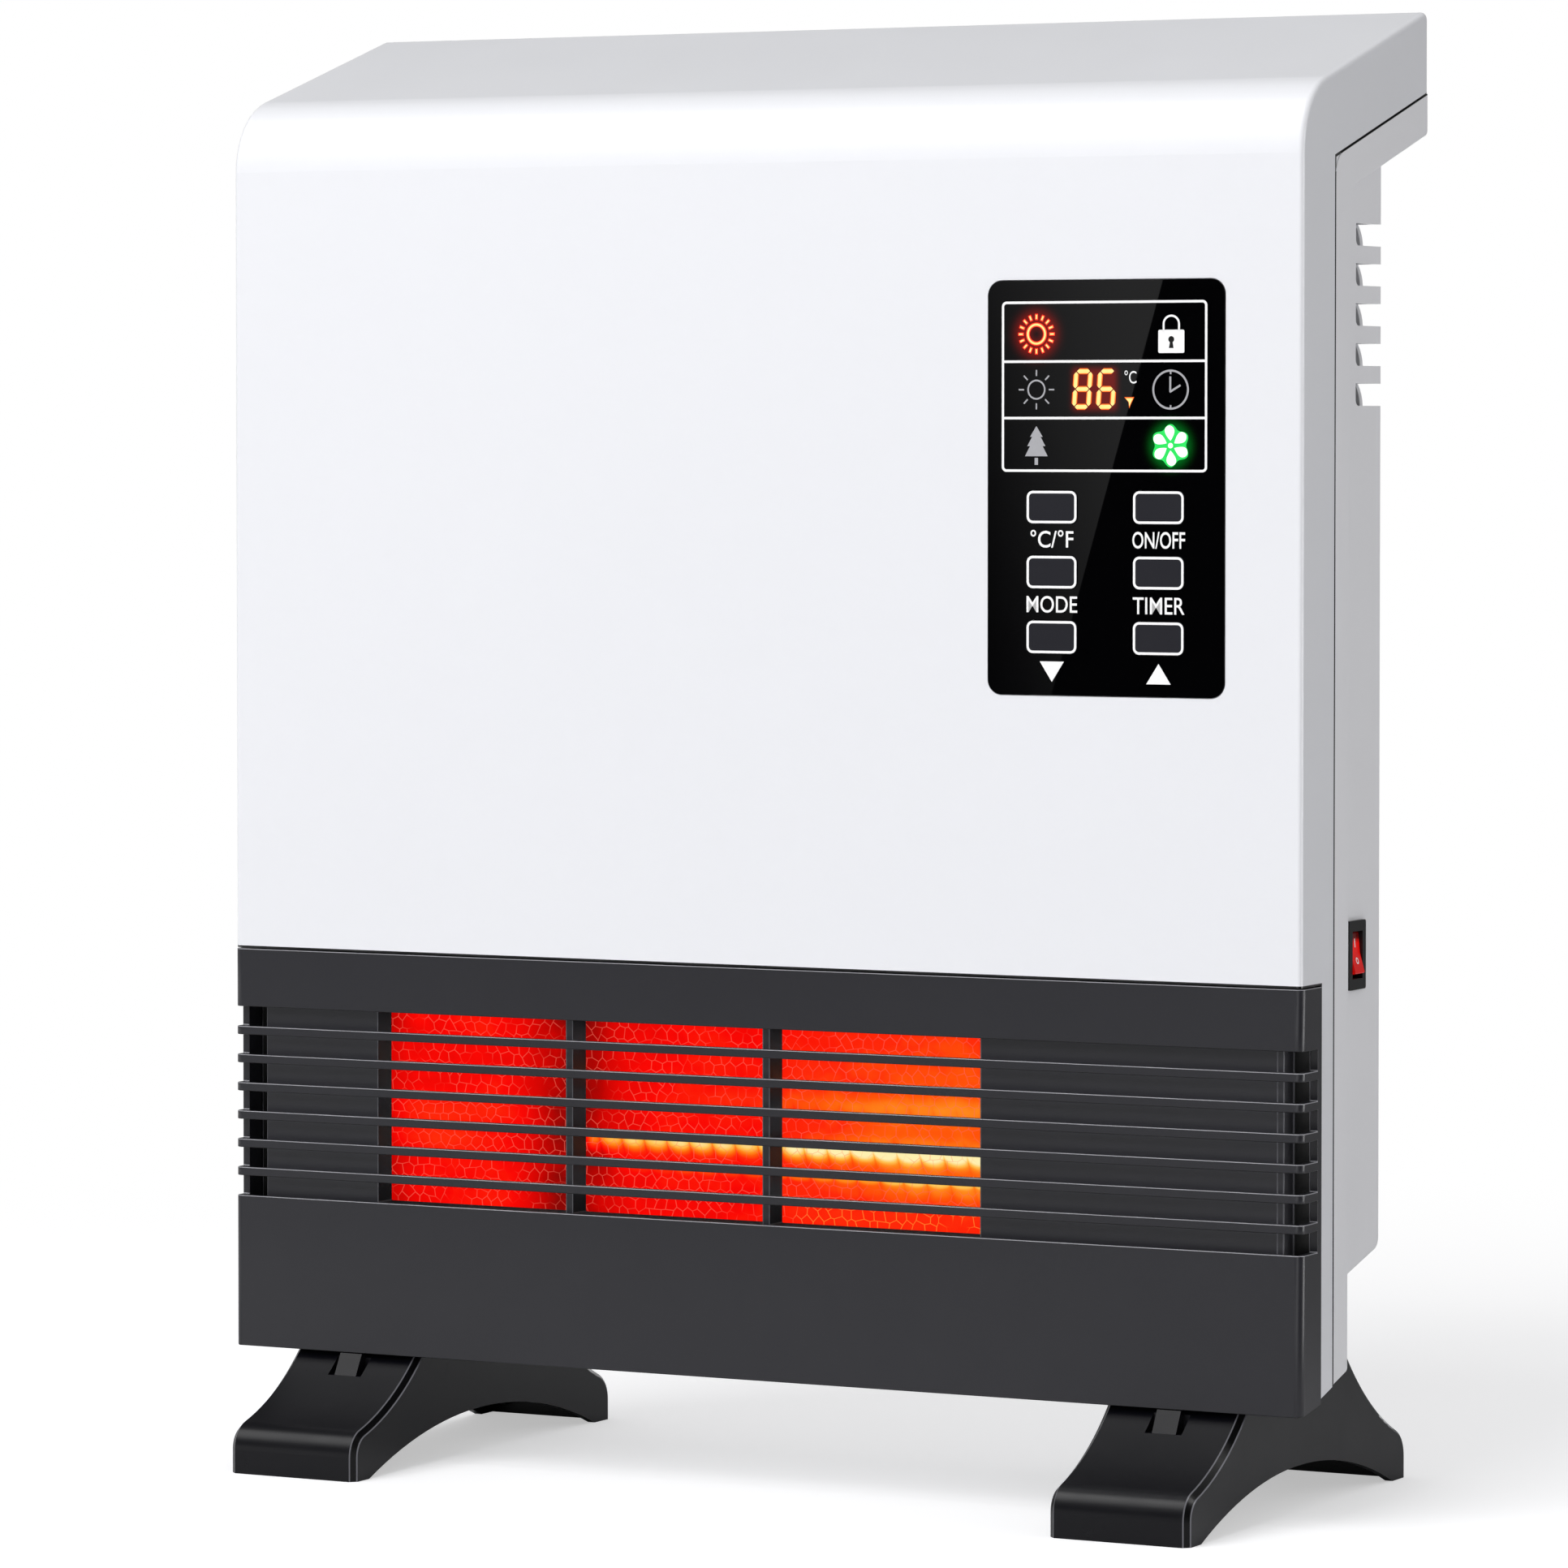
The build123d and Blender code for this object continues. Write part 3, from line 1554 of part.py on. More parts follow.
save("foot_left", make_foot(-1))
save("foot_right", make_foot(1))
save("foot_screws", *make_foot_screws())
save("housing_screws", *make_housing_screws())
save("cover_screws", *make_cover_screws())
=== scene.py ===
"""Looks of an infrared panel heater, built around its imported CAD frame.

Laid out as a Blender add-on: property groups hold the colours and sizes, one operator makes each group
of pieces, and a panel in the 3D view's sidebar lists them. Lengths are metres, in the CAD's own frame.
"""
from functools import partialmethod
from math import cos, pi, radians, sin, tan

import bmesh
import bpy
import numpy as np
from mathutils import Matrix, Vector


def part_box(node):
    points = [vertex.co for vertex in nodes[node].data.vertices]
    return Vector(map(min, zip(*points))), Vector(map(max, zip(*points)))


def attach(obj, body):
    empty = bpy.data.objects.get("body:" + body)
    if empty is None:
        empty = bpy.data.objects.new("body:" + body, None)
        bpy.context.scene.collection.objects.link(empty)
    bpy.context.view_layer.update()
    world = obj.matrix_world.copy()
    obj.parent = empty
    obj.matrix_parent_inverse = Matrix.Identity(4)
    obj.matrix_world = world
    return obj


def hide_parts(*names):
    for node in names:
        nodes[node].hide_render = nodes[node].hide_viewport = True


bl_info = {
    "name": "Infrared Panel Heater",
    "version": (1, 0, 0),
    "blender": (4, 5, 0),
    "location": "3D View > Sidebar > Heater",
    "description": "Finishes, glowing screen, control panel and studio of a panel heater",
    "category": "Object",
}

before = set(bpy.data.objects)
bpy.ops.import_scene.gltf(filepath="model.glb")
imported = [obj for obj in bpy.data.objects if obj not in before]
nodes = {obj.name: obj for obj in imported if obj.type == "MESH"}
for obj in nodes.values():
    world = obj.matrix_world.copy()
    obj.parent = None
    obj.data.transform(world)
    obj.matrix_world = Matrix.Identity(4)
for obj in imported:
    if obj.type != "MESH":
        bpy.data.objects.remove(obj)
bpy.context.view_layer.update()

MM = 0.001
ROOT = "root"

# The control panel, in millimetres of the shared frame: its faces, print and keys
OVERLAY_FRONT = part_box("control_overlay")[0].y / MM
KEY_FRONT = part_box("key_unit")[0].y / MM
INK = 0.04
LEFT_COLUMN = 103.2
RIGHT_COLUMN = 138.3
KEY_ROWS = (303.5, 284.05, 264.6)
KEYS = ("key_unit", "key_power", "key_mode", "key_timer", "key_down", "key_up")
KEY_SIZE = (16.6, 9.8, 2.0)
# Words under the keys: text, height against the capitals, middle, width and added weight
WORDS = (
    ("°C/°F", 1.06, (LEFT_COLUMN, 294.0), 14.2, 0.008),
    ("ON/OFF", 1.0, (RIGHT_COLUMN, 293.8), 17.2, 0.010),
    ("MODE", 1.0, (LEFT_COLUMN, 274.4), 16.8, 0.005),
    ("TIMER", 1.0, (RIGHT_COLUMN, 274.3), 16.9, 0.005),
)

# Its display: the frame and the middles of the symbols
DISPLAY = np.array([120.25, 339.5])
DISPLAY_SIZE = (67.5, 51.0)
DIVIDERS = (347.0, 330.1)
SUN = np.array([98.0, 355.2])
LOCK = np.array([142.3, 352.8])
DULL_SUN = np.array([98.0, 338.6])
FIGURES_AT = np.array([(113.2, 338.75), (121.1, 338.75)])
CLOCK = np.array([142.1, 338.5])
TREE = np.array([98.0, 321.9])
FAN = np.array([142.1, 321.9])

# Glow round lit symbols, in metres: middle, half size, ring's radius, spread, colour and strength
HALOS = (
    ((0.0980, 0.3552), (0.0, 0.0), 0.0044, 0.0026, "#FF1A08", 0.22),
    ((0.1172, 0.3387), (0.0058, 0.0048), 0.0, 0.0016, "#FF2008", 0.15),
    ((0.1421, 0.3219), (0.0, 0.0), 0.0050, 0.0020, "#0AC23C", 0.22),
)

# The joint of cover and frame, in metres: where the front face and the hood's slope lie, and its depth.
# A painted shadow line runs along it, and along the joint at the bezel's top and back
FRONT_FACE = 0.0455
HOOD_FOOT = 0.4258
HOOD_SLOPE = radians(16.8)
HOOD_RISE = tan(HOOD_SLOPE)
SEAM_DEPTH = 0.0242
SEAM_HALF_WIDTH = 0.00044
BEZEL_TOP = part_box("grille_bezel")[1].z
BEZEL_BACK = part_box("grille_bezel")[1].y
BEZEL_SHADOW_LINE = 0.00100

# Edges painted with highlights and shade: how far they lean, and the lean of the chamfers that stay
# plain
EDGE_LEAN = (0.06, 0.985)
CHAMFER_LEAN = 0.045
# Painted shade under lower edges and on a foot's chamfers
PAINTED_SHADE = "#040405"
# The louvre plate's outer ribs end this far from the middle, and its ends lie in shadow
PLATE_RIB = 0.1770
PLATE_SHADOW = "#060607"
# The toe's chamfers run this far in from a foot's sides; they are painted dark as shade, with a painted
# highlight line on both their edges
FOOT = "foot"
TOE_CHAMFER = 0.002
TOE_LEAN = (0.3, 0.96)
CHAMFER_LINE = 0.00032
foot_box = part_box("foot_right")

# Rows of heat on the screen: rise, height, spread, start and end across, and their scalloped share
HEAT_ROWS = (
    (0.14, 0.1205, 0.0036, -0.050, 0.010, 0.2),
    (0.07, 0.1100, 0.0018, -0.040, 0.050, 0.8),
    (0.56, 0.1068, 0.0034, -0.068, -0.062, 0.35),
    (0.16, 0.0978, 0.0009, -0.060, -0.030, 0.0),
    (0.17, 0.0970, 0.0040, -0.010, 0.060, 0.35),
)
# The hottest row is cut off between these heights
HOT_ROW = 0.5
HOT_ROW_TOP = (0.1082, 0.1068)
# Warm spots of the left pane: rise, height and middle
WARM_SPOTS = ((0.12, 0.1115, -0.110), (0.11, 0.1030, -0.120))
# Bell curves across of the dark band beside the window's first bar and of its dark left end
DARK_BAND = (-0.0695, 0.0135)
DARK_END = (-0.1375, 0.008)
# The rise to the right: its step across and its bell curve of height
WARM_STEP = (-0.020, 0.050)
WARM_HEIGHT = (0.114, 0.042)
# Where the honeycomb's walls turn from orange to pink: steps across and of height
LOW_ROW = ((0.0, 0.020), (0.090, 0.086))

# The honeycomb: how far its walls stand out in millimetres, and what scatters its corners each way
WALL_RISE = 0.15
STRAY_SEEDS = ((12.9898, 78.233), (39.3468, 11.135))

# The coils of wire, in millimetres: their axes behind the screen, and the wire's run
COIL_AXES = ((-16.5, 101.25), (-16.5, 125.25))
COIL_RADIUS = 1.2
WIRE_RADIUS = 0.25
COIL_PITCH = 1.6
COIL_MARGIN = 4

# The rocker, in millimetres: pivot, half height and reach of its face, dip of the face, tilt at rest
ROCKER_PIVOT = (178.7, 0.9, 169.0)
ROCKER_HALF = 6.3
ROCKER_REACH = 3.9
ROCKER_DIP = 0.6
ROCKER_TILT = radians(10)
# Its painted shade, in metres up: where the lower half is painted darker, and where the pressed end is
# painted dark
ROCKER_LOW_SHADE = (0.164, 0.174)
ROCKER_END_SHADE = (0.1722, 0.1745)

# The camera: its place, how far it looks down and to the left in degrees, and its shift
CAMERA = (1.03271, -1.98898, 0.32673)
CAMERA_DIP = 1.824
CAMERA_TURN = 27.696
CAMERA_SHIFT = -0.08

# The floor: how much lighter the camera sees it, and from where to where it fades into the backdrop
FLOOR_LIFT = 0.47
FLOOR_FADE = (0.35, 0.95)

# The pale strip of the sky: start, end and softness along X and along Y, and its step along Z
SKY_STRIP = ((-0.62, -0.30, 0.04), (-0.62, -0.12, 0.08), (0.3, 0.5))

# Lamps: name, share of the key's power, size, turn and rise in degrees, distance from their aim
LAMP_AIM = Vector((0, 0, 0.23))
LAMPS = (
    ("key", 1.0, (1.9, 1.6), -13, 36, 2.6),
    ("strip", 0.10, (1.4, 0.25), -8, 62, 2.0),
    ("fill", 0.08, (1.2, 1.2), 98, 22, 2.2),
)
# Upright cards: name, bearings of their two edges in degrees from the front, height, brightness
CARD_RING = 0.5
CARDS = (
    ("low_card", -62, -4, 0.06, 1.0),
    ("front_rim_card", 25, 38, 0.5, 1.6),
    ("corner_flag", 48, 86, 0.5, 0.02),
    ("side_rim_card", 92, 105, 0.5, 6.0),
    ("side_flag", 107, 158, 0.5, 0.20),
    ("back_rim_card", 162, 200, 0.5, 1.8),
)
# Cards before the panel: name, where they start left of the pale edge, how much further out they are
PANEL_CARDS = (("dark_card", -0.3, 0.1), ("pale_card", 0.0, 0.0))
CARD_REACH = 1.5


def linear(colour):
    """Linear colour of a hex code, with the sRGB curve undone on each channel; other colours stay."""
    if not isinstance(colour, str):
        return tuple(colour)[:3]
    srgb = np.array([int(colour[i : i + 2], 16) for i in (1, 3, 5)]) / 255
    high = ((srgb + 0.055) / 1.055) ** 2.4
    return tuple(float(v) for v in np.where(srgb <= 0.04045, srgb / 12.92, high))


def shade(colour, factor):
    """The colour made darker or lighter by a factor."""
    return tuple(min(1.0, channel * factor) for channel in linear(colour))


def swatch(name, description, code):
    """A colour swatch whose default is the hex code."""
    return bpy.props.FloatVectorProperty(
        name=name, description=description, subtype="COLOR", size=3, min=0, max=1, default=linear(code)
    )


def length(name, description, millimetres):
    """A length whose default is given in millimetres."""
    return bpy.props.FloatProperty(
        name=name, description=description, unit="LENGTH", default=millimetres * MM
    )


class HeaterFinish(bpy.types.PropertyGroup):
    """Colours of the casing, the feet and the controls."""

    cover: swatch("Cover", "Powder coat of the hooded cover", "#EEEFF3")
    shell: swatch("Shell", "Moulded frame and rear housing", "#EFEFF2")
    bezel: swatch("Bezel", "Louvred bezel", "#232328")
    plate: swatch("Plate", "Plate behind the louvres", "#37373C")
    foot: swatch("Feet", "Clip-on feet", "#09090E")
    panel: swatch("Panel", "Gloss of the control panel", "#030304")
    key: swatch("Keys", "Caps of the six keys", "#222228")
    ink: swatch("Ink", "Printed lines and words", "#F4F4F4")
    dim_ink: swatch("Dim ink", "Symbols that are not lit", "#A6A6AA")
    rocker: swatch("Rocker", "Power switch", "#C00804")
    # Colour of the painted shadow lines in the joints round the cover
    seam: swatch("Seam", "Shadow line between the cover and the frame", "#0A0A0B")


class HeaterGlow(bpy.types.PropertyGroup):
    """Heat colours and the honeycomb of the screen."""

    ember: swatch("Ember", "Coolest part of the screen", "#5A0A08")
    red: swatch("Red", "Most of the screen", "#FB0804")
    orange: swatch("Orange", "Warm end of the screen", "#FF5C0A")
    white_hot: swatch("White hot", "Hottest row", "#FFF0B0")
    cell: length("Cell", "Width across a honeycomb cell", 3.8)
    wall: length("Wall", "Width of the honeycomb's walls", 0.12)
    unevenness: length("Unevenness", "How far a cell's corner strays", 0.7)


class HeaterPrint(bpy.types.PropertyGroup):
    """What is printed on the control panel."""

    line: length("Line", "Width of the printed frame", 0.75)
    word_height: length("Word height", "Height of the capitals", 5.0)
    reading: bpy.props.StringProperty(name="Reading", description="Two digits shown", default="86")


class HeaterStudio(bpy.types.PropertyGroup):
    """Light and camera."""

    key_power: bpy.props.FloatProperty(name="Key", description="Front softbox", unit="POWER", default=43)
    sky: bpy.props.FloatProperty(name="Sky", description="Even light from all round", default=0.44)
    floor: swatch("Floor", "Pale floor", "#DDDDDF")
    lens: bpy.props.FloatProperty(
        name="Lens", description="Focal length", unit="CAMERA", default=165.24
    )


class Value:
    """One output of a material's node; arithmetic on it adds Math nodes."""

    def __init__(self, paint, socket):
        self.paint = paint
        self.socket = socket

    def math(self, operation, *others):
        """Any Math node that starts from this value."""
        return self.paint.math(operation, self, *others)

    __add__ = __radd__ = partialmethod(math, "ADD")
    __sub__ = partialmethod(math, "SUBTRACT")
    __mul__ = __rmul__ = partialmethod(math, "MULTIPLY")
    __truediv__ = partialmethod(math, "DIVIDE")
    __lt__ = partialmethod(math, "LESS_THAN")
    __gt__ = partialmethod(math, "GREATER_THAN")
    __abs__ = partialmethod(math, "ABSOLUTE")
    max = partialmethod(math, "MAXIMUM")

    def __rsub__(self, other):
        return self.paint.math("SUBTRACT", other, self)


class Paint:
    """A procedural material, or the world's backdrop, built up node by node."""

    def __init__(self, name, store="materials"):
        self.material = getattr(bpy.data, store).new(name)
        self.material.use_nodes = True
        self.tree = self.material.node_tree
        self.tree.nodes.clear()

    def node(self, kind, inputs=None, output=0, **settings):
        """Add a shader node: its settings are set first, then a value or a link for each socket."""
        made = self.tree.nodes.new("ShaderNode" + kind)
        for name, value in settings.items():
            if name == "stops":
                ramp = made.color_ramp
                while len(ramp.elements) < len(value):
                    ramp.elements.new(1.0)
                for element, (place, colour) in zip(ramp.elements, value):
                    element.position = place
                    element.color = (*linear(colour), 1.0)
            else:
                setattr(made, name, value)
        for key, value in (inputs or {}).items():
            socket = made.inputs[key]
            if isinstance(value, Value):
                self.tree.links.new(value.socket, socket)
            else:
                socket.default_value = (*linear(value), 1.0) if socket.type == "RGBA" else value
        return Value(self, made.outputs[output]) if len(made.outputs) else None

    def math(self, operation, *values):
        """A Math node on values or sockets."""
        return self.node("Math", dict(enumerate(values)), operation=operation)

    def mix(self, factor, first, second):
        """A colour between two colours."""
        return self.node("Mix", {0: factor, 6: first, 7: second}, 2, data_type="RGBA")

    def place(self, stretch=(1, 1, 1)):
        """Object coordinates, perhaps stretched."""
        here = self.node("TexCoord", output="Object")
        if stretch == (1, 1, 1):
            return here
        return self.node("Mapping", {"Vector": here, "Scale": stretch})

    def axes(self, vector=None):
        """X, Y and Z of a vector, by default of the place on the piece."""
        first = self.node("SeparateXYZ", {0: vector or self.place()})
        return [Value(self, out) for out in first.socket.node.outputs]

    def noise(self, scale, detail=2.0, rough=0.5, stretch=(1, 1, 1)):
        """Smooth noise from 0 to 1, with its scale in cells per metre."""
        inputs = {"Vector": self.place(stretch), "Scale": scale, "Detail": detail, "Roughness": rough}
        return self.node("TexNoise", inputs)

    def between(self, value, low, high):
        """A smooth step from 0 at low to 1 at high."""
        inputs = {"Value": value, "From Min": low, "From Max": high}
        return self.node("MapRange", inputs, interpolation_type="SMOOTHSTEP")

    def inside(self, value, low, high, soft):
        """1 from low to high and 0 outside, with soft edges."""
        falling = self.between(value, high + soft, high - soft)
        return self.between(value, low - soft, low + soft) * falling

    def bell(self, value, centre, spread):
        """A bell curve round a centre."""
        offset = (value - centre) / spread
        return (offset * offset * -1.0).math("EXPONENT")

    def bump(self, height, distance, strength=1.0):
        """A normal pushed about by a height, whose full swing is distance in millimetres."""
        return self.node("Bump", {"Height": height, "Distance": distance * MM, "Strength": strength})

    def finish(self, shader):
        """The shader on the material's output."""
        self.node("OutputMaterial", {"Surface": shader})
        return self.material

    def principled(self, colour, roughness, glow=None, strength=1.0, **others):
        """The Principled shader as the finished material, perhaps with light of its own. Its other
        sockets go by their names in small letters, joined by underscores."""
        inputs = {"Base Color": colour, "Roughness": roughness}
        if glow is not None:
            inputs |= {"Emission Color": glow, "Emission Strength": strength}
        for key, value in others.items():
            inputs[key.replace("_", " ").title().replace("Ior", "IOR")] = value
        return self.finish(self.node("BsdfPrincipled", inputs))


def seam_shadowed(paint, base, line):
    """A base colour with painted shadow lines in the joints round the cover, where shade falls. The line
    to the frame lies at one depth under the cover's outer face: the lesser of the ways back from the
    front and down from the sloping hood. The line to the bezel follows the greater of the ways past its
    top and its back."""
    _, y, z = paint.axes()
    back = y + FRONT_FACE
    down = (back * HOOD_RISE + (HOOD_FOOT - z)) * cos(HOOD_SLOPE)
    frame_shadow_line = abs(back.math("MINIMUM", down) - SEAM_DEPTH) < SEAM_HALF_WIDTH
    bezel_shadow_line = (y - BEZEL_BACK).max(z - BEZEL_TOP) < BEZEL_SHADOW_LINE
    return paint.mix(frame_shadow_line.max(bezel_shadow_line), base, line)


def narrow_edge(lean):
    """1 on narrow rounded edges: faces that lean between across and along an axis, but for the wide
    chamfers' 45 degrees."""
    leaning = (lean > EDGE_LEAN[0]) * (lean < EDGE_LEAN[1])
    return leaning * (abs(lean - cos(radians(45))) > CHAMFER_LEAN)


def painted_edges(paint, base, axis, pale):
    """A base colour with painted highlights on its narrow edges. Along Z only upper edges get the pale
    painted highlight, and lower ones are painted dark as shade. Along X the ends past the outer ribs are
    painted dark as shadow. A foot has chamfers painted dark as shade, with a painted highlight along
    both their edges."""
    normal = paint.axes(paint.node("NewGeometry", output="True Normal"))
    # Uneven strength of the painted highlights
    highlight_strength = paint.noise(60, 3) * 0.5 + 0.6
    aside = abs(paint.axes()[0])
    if axis == FOOT:
        low, high = (corner.x for corner in foot_box)
        inset = (high - low) / 2 - abs(aside - (high + low) / 2)
        lean = abs(normal[0])
        chamfer = (lean > TOE_LEAN[0]) * (lean < TOE_LEAN[1]) * (inset < TOE_CHAMFER * 1.02)
        rim = abs(inset - TOE_CHAMFER / 2) > TOE_CHAMFER / 2 - CHAMFER_LINE
        return paint.mix(chamfer * rim * highlight_strength, paint.mix(chamfer, base, PAINTED_SHADE), pale)
    if axis == 2:
        base = paint.mix(narrow_edge(normal[2] * -1.0), base, PAINTED_SHADE)
        return paint.mix(narrow_edge(normal[2]) * highlight_strength, base, pale)
    behind = paint.between(aside, PLATE_RIB, PLATE_RIB + 0.5 * MM)
    base = paint.mix(behind, base, PLATE_SHADOW)
    return paint.mix(narrow_edge(abs(normal[axis])) * highlight_strength, base, pale)


def moulded(name, colour, roughness, grain, depth, patch=0.06, specular=0.5, line=None, rim=None):
    """Moulded plastic: fine spark texture, slow changes of tone and gloss, and perhaps the cover's
    painted shadow lines in its joints, or edges painted with highlights and shade, given as an axis and
    a colour."""
    paint = Paint(name)
    fine = paint.noise(grain, 3, 0.6)
    base = paint.mix(paint.noise(14, 3), shade(colour, 1 - patch), shade(colour, 1 + patch))
    if line:
        base = seam_shadowed(paint, base, line)
    if rim:
        base = painted_edges(paint, base, *rim)
    return paint.principled(
        base,
        paint.noise(70, 4, 0.6) * 0.10 + fine * 0.06 + (roughness - 0.08),
        normal=paint.bump(fine, depth, 0.6),
        specular_ior_level=specular,
    )


def powder_coat(name, colour, line):
    """Powder-coated sheet: the faint orange peel of the coat under a satin gloss, with painted shadow
    lines in the joints round the cover.
    """
    paint = Paint(name)
    return paint.principled(
        seam_shadowed(paint, paint.mix(paint.noise(5, 2), shade(colour, 0.985), colour), line),
        paint.noise(40, 3) * 0.08 + 0.30,
        normal=paint.bump(paint.noise(750, 2, 0.4), 0.012, 0.5),
        coat_weight=0.25,
        coat_roughness=0.18,
    )


def metal(name, colour, roughness, stretch=(1, 1, 1), scale=400, depth=0.01):
    """Bare metal: rolled or brushed lines along the axis whose stretch is least."""
    paint = Paint(name)
    lines = paint.noise(scale, 4, 0.65, stretch)
    return paint.principled(
        paint.mix(paint.noise(25, 3), shade(colour, 0.86), colour),
        lines * 0.22 + (roughness - 0.11),
        metallic=1.0,
        normal=paint.bump(lines, depth, 0.5),
    )


def spangled(name, colour):
    """Galvanised sheet: flat crystals, each a little lighter or darker."""
    paint = Paint(name)
    cells = {"Vector": paint.place(), "Scale": 220.0}
    tone = paint.axes(paint.node("TexVoronoi", cells, "Color", feature="F1"))[0]
    return paint.principled(
        paint.mix(tone, shade(colour, 0.78), colour),
        tone * 0.18 + 0.28,
        metallic=1.0,
        normal=paint.bump(paint.noise(900, 2), 0.006, 0.5),
    )


def ruled(name, dark, light, axis, pitch, metallic, roughness):
    """Fine parallel lines across an axis: stacked laminations or wound wire, with the valleys dark."""
    paint = Paint(name)
    along = paint.axes()[axis] / (pitch * MM)
    ridge = (along * (2 * pi)).math("SINE") * 0.5 + 0.5
    return paint.principled(
        paint.mix(ridge, dark, light),
        roughness + 0.15 * paint.noise(300, 3),
        metallic=metallic,
        normal=paint.bump(ridge, 0.15),
    )


def circuit(name):
    """Circuit board: green mask with paler tracks that step along two directions, and tinned pads."""
    paint = Paint(name)
    x, _, z = paint.axes()
    bend = (paint.noise(55, 0) * 9).math("FLOOR") * 0.7
    track = abs((x / (2.6 * MM) + bend).math("FRACT") - 0.5)
    cross = abs((z / (3.1 * MM) + bend * 1.7).math("FRACT") - 0.5)
    copper = (track < 0.14).max(cross < 0.11)
    pad = (track < 0.2) * (cross < 0.18)
    return paint.principled(
        paint.mix(pad, paint.mix(copper, "#0E4A26", "#1F7A44"), "#B9B7A8"),
        paint.noise(90, 2) * 0.1 + 0.3,
        metallic=pad * 0.8,
        normal=paint.bump(copper + pad, 0.03),
        coat_weight=0.3,
    )


def lit(name, colour, core):
    """A lit symbol: its light is a little uneven, as behind a diffuser."""
    paint = Paint(name)
    return paint.principled(
        shade(colour, 0.3),
        0.4,
        glow=paint.mix(paint.noise(260, 2), colour, core),
    )


def printed(name, colour):
    """Screen-printed ink: a hair of unevenness in tone and gloss, and a faint painted glow that makes it
    brighter than the light on it.
    """
    paint = Paint(name)
    weave = paint.noise(1800, 2)
    return paint.principled(
        paint.mix(weave, shade(colour, 0.9), colour),
        weave * 0.15 + 0.35,
        glow=colour,
        strength=0.12,
    )


def ceramic(name):
    """Unglazed ceramic: chalky, with fine dark flecks."""
    paint = Paint(name)
    return paint.principled(
        paint.mix(paint.between(paint.noise(1400, 2), 0.62, 0.72), "#E9E4D8", "#B8AE9C"),
        paint.noise(200, 3) * 0.15 + 0.55,
        normal=paint.bump(paint.noise(1600, 3), 0.03),
    )


def quartz(name):
    """Milky quartz tube with faint lines of drawing along it."""
    paint = Paint(name)
    lines = paint.noise(300, 2, 0.5, (0.03, 1, 1))
    return paint.principled(
        paint.mix(lines, "#F6EFEA", "#FFFFFF"),
        lines * 0.1 + 0.05,
        ior=1.46,
        transmission_weight=0.85,
    )


def smoked_lens(name):
    """Smoked lens of the display, ribbed finely across."""
    paint = Paint(name)
    ribs = paint.noise(500, 2, 0.5, (0.1, 1, 1))
    return paint.principled(
        paint.mix(ribs, "#0B0B0D", "#1A1A1F"),
        ribs * 0.1 + 0.15,
        normal=paint.bump(ribs, 0.01),
    )


def dress(material, *names):
    """Give CAD nodes their material."""
    for name in names:
        for slot in nodes[name].material_slots:
            slot.material = material


def crisp(width, name):
    """Round the hard edges of a CAD node a little: its loose triangles are welded, then bevelled."""
    weld = nodes[name].modifiers.new("Weld", "WELD")
    weld.merge_threshold = 0.002 * MM
    edge = nodes[name].modifiers.new("Edge", "BEVEL")
    edge.width = width * MM
    edge.segments = 2
    edge.limit_method = "ANGLE"
    edge.angle_limit = radians(40)
    edge.use_clamp_overlap = False
    edge.harden_normals = True


def circle(count):
    """Cosines and sines of evenly spaced angles."""
    angle = np.arange(count) * 2 * pi / count
    return np.stack([np.cos(angle), np.sin(angle)], 1)


def grid_faces(rows, columns, close_columns=False, close_rows=False):
    """Quads between neighbouring points of a grid, numbered row by row, that may wrap round."""
    i = np.arange(rows if close_rows else rows - 1)[:, None]
    j = np.arange(columns if close_columns else columns - 1)[None, :]
    below = (i + 1) % rows
    beside = (j + 1) % columns
    corners = (i * columns + j, i * columns + beside, below * columns + beside, below * columns + j)
    return np.stack(np.broadcast_arrays(*corners), -1).reshape(-1, 4).tolist()


def disc(radius, count, centre=(0, 0), squash=1.0):
    """Points of a circle: centre plus radius times cosine and sine of evenly spaced angles."""
    return np.array(centre) + circle(count) * (radius, squash * radius)


def rounded(width, height, radius, centre=(0, 0), steps=6):
    """Outline of a rounded rectangle: a quarter circle about each corner's own centre, in turn."""
    turn = (np.arange(4)[:, None] + np.arange(steps + 1)[None, :] / steps) * pi / 2
    corner = np.arange(4) * pi / 2 + pi / 4
    across = np.sign(np.cos(corner))[:, None] * (width / 2 - radius)
    up = np.sign(np.sin(corner))[:, None] * (height / 2 - radius)
    x = centre[0] + across + radius * np.cos(turn)
    z = centre[1] + up + radius * np.sin(turn)
    return np.stack([x.ravel(), z.ravel()], 1)


def plate(outline, depth=INK):
    """A thin closed solid: an outline carried from the surface to its depth, with a face on each end."""
    count = len(outline)
    points = np.column_stack([np.tile(outline, (2, 1)), np.repeat([0.0, depth], count)])
    faces = grid_faces(2, count, True)
    faces += [list(range(count)), list(range(2 * count - 1, count - 1, -1))]
    return points, faces


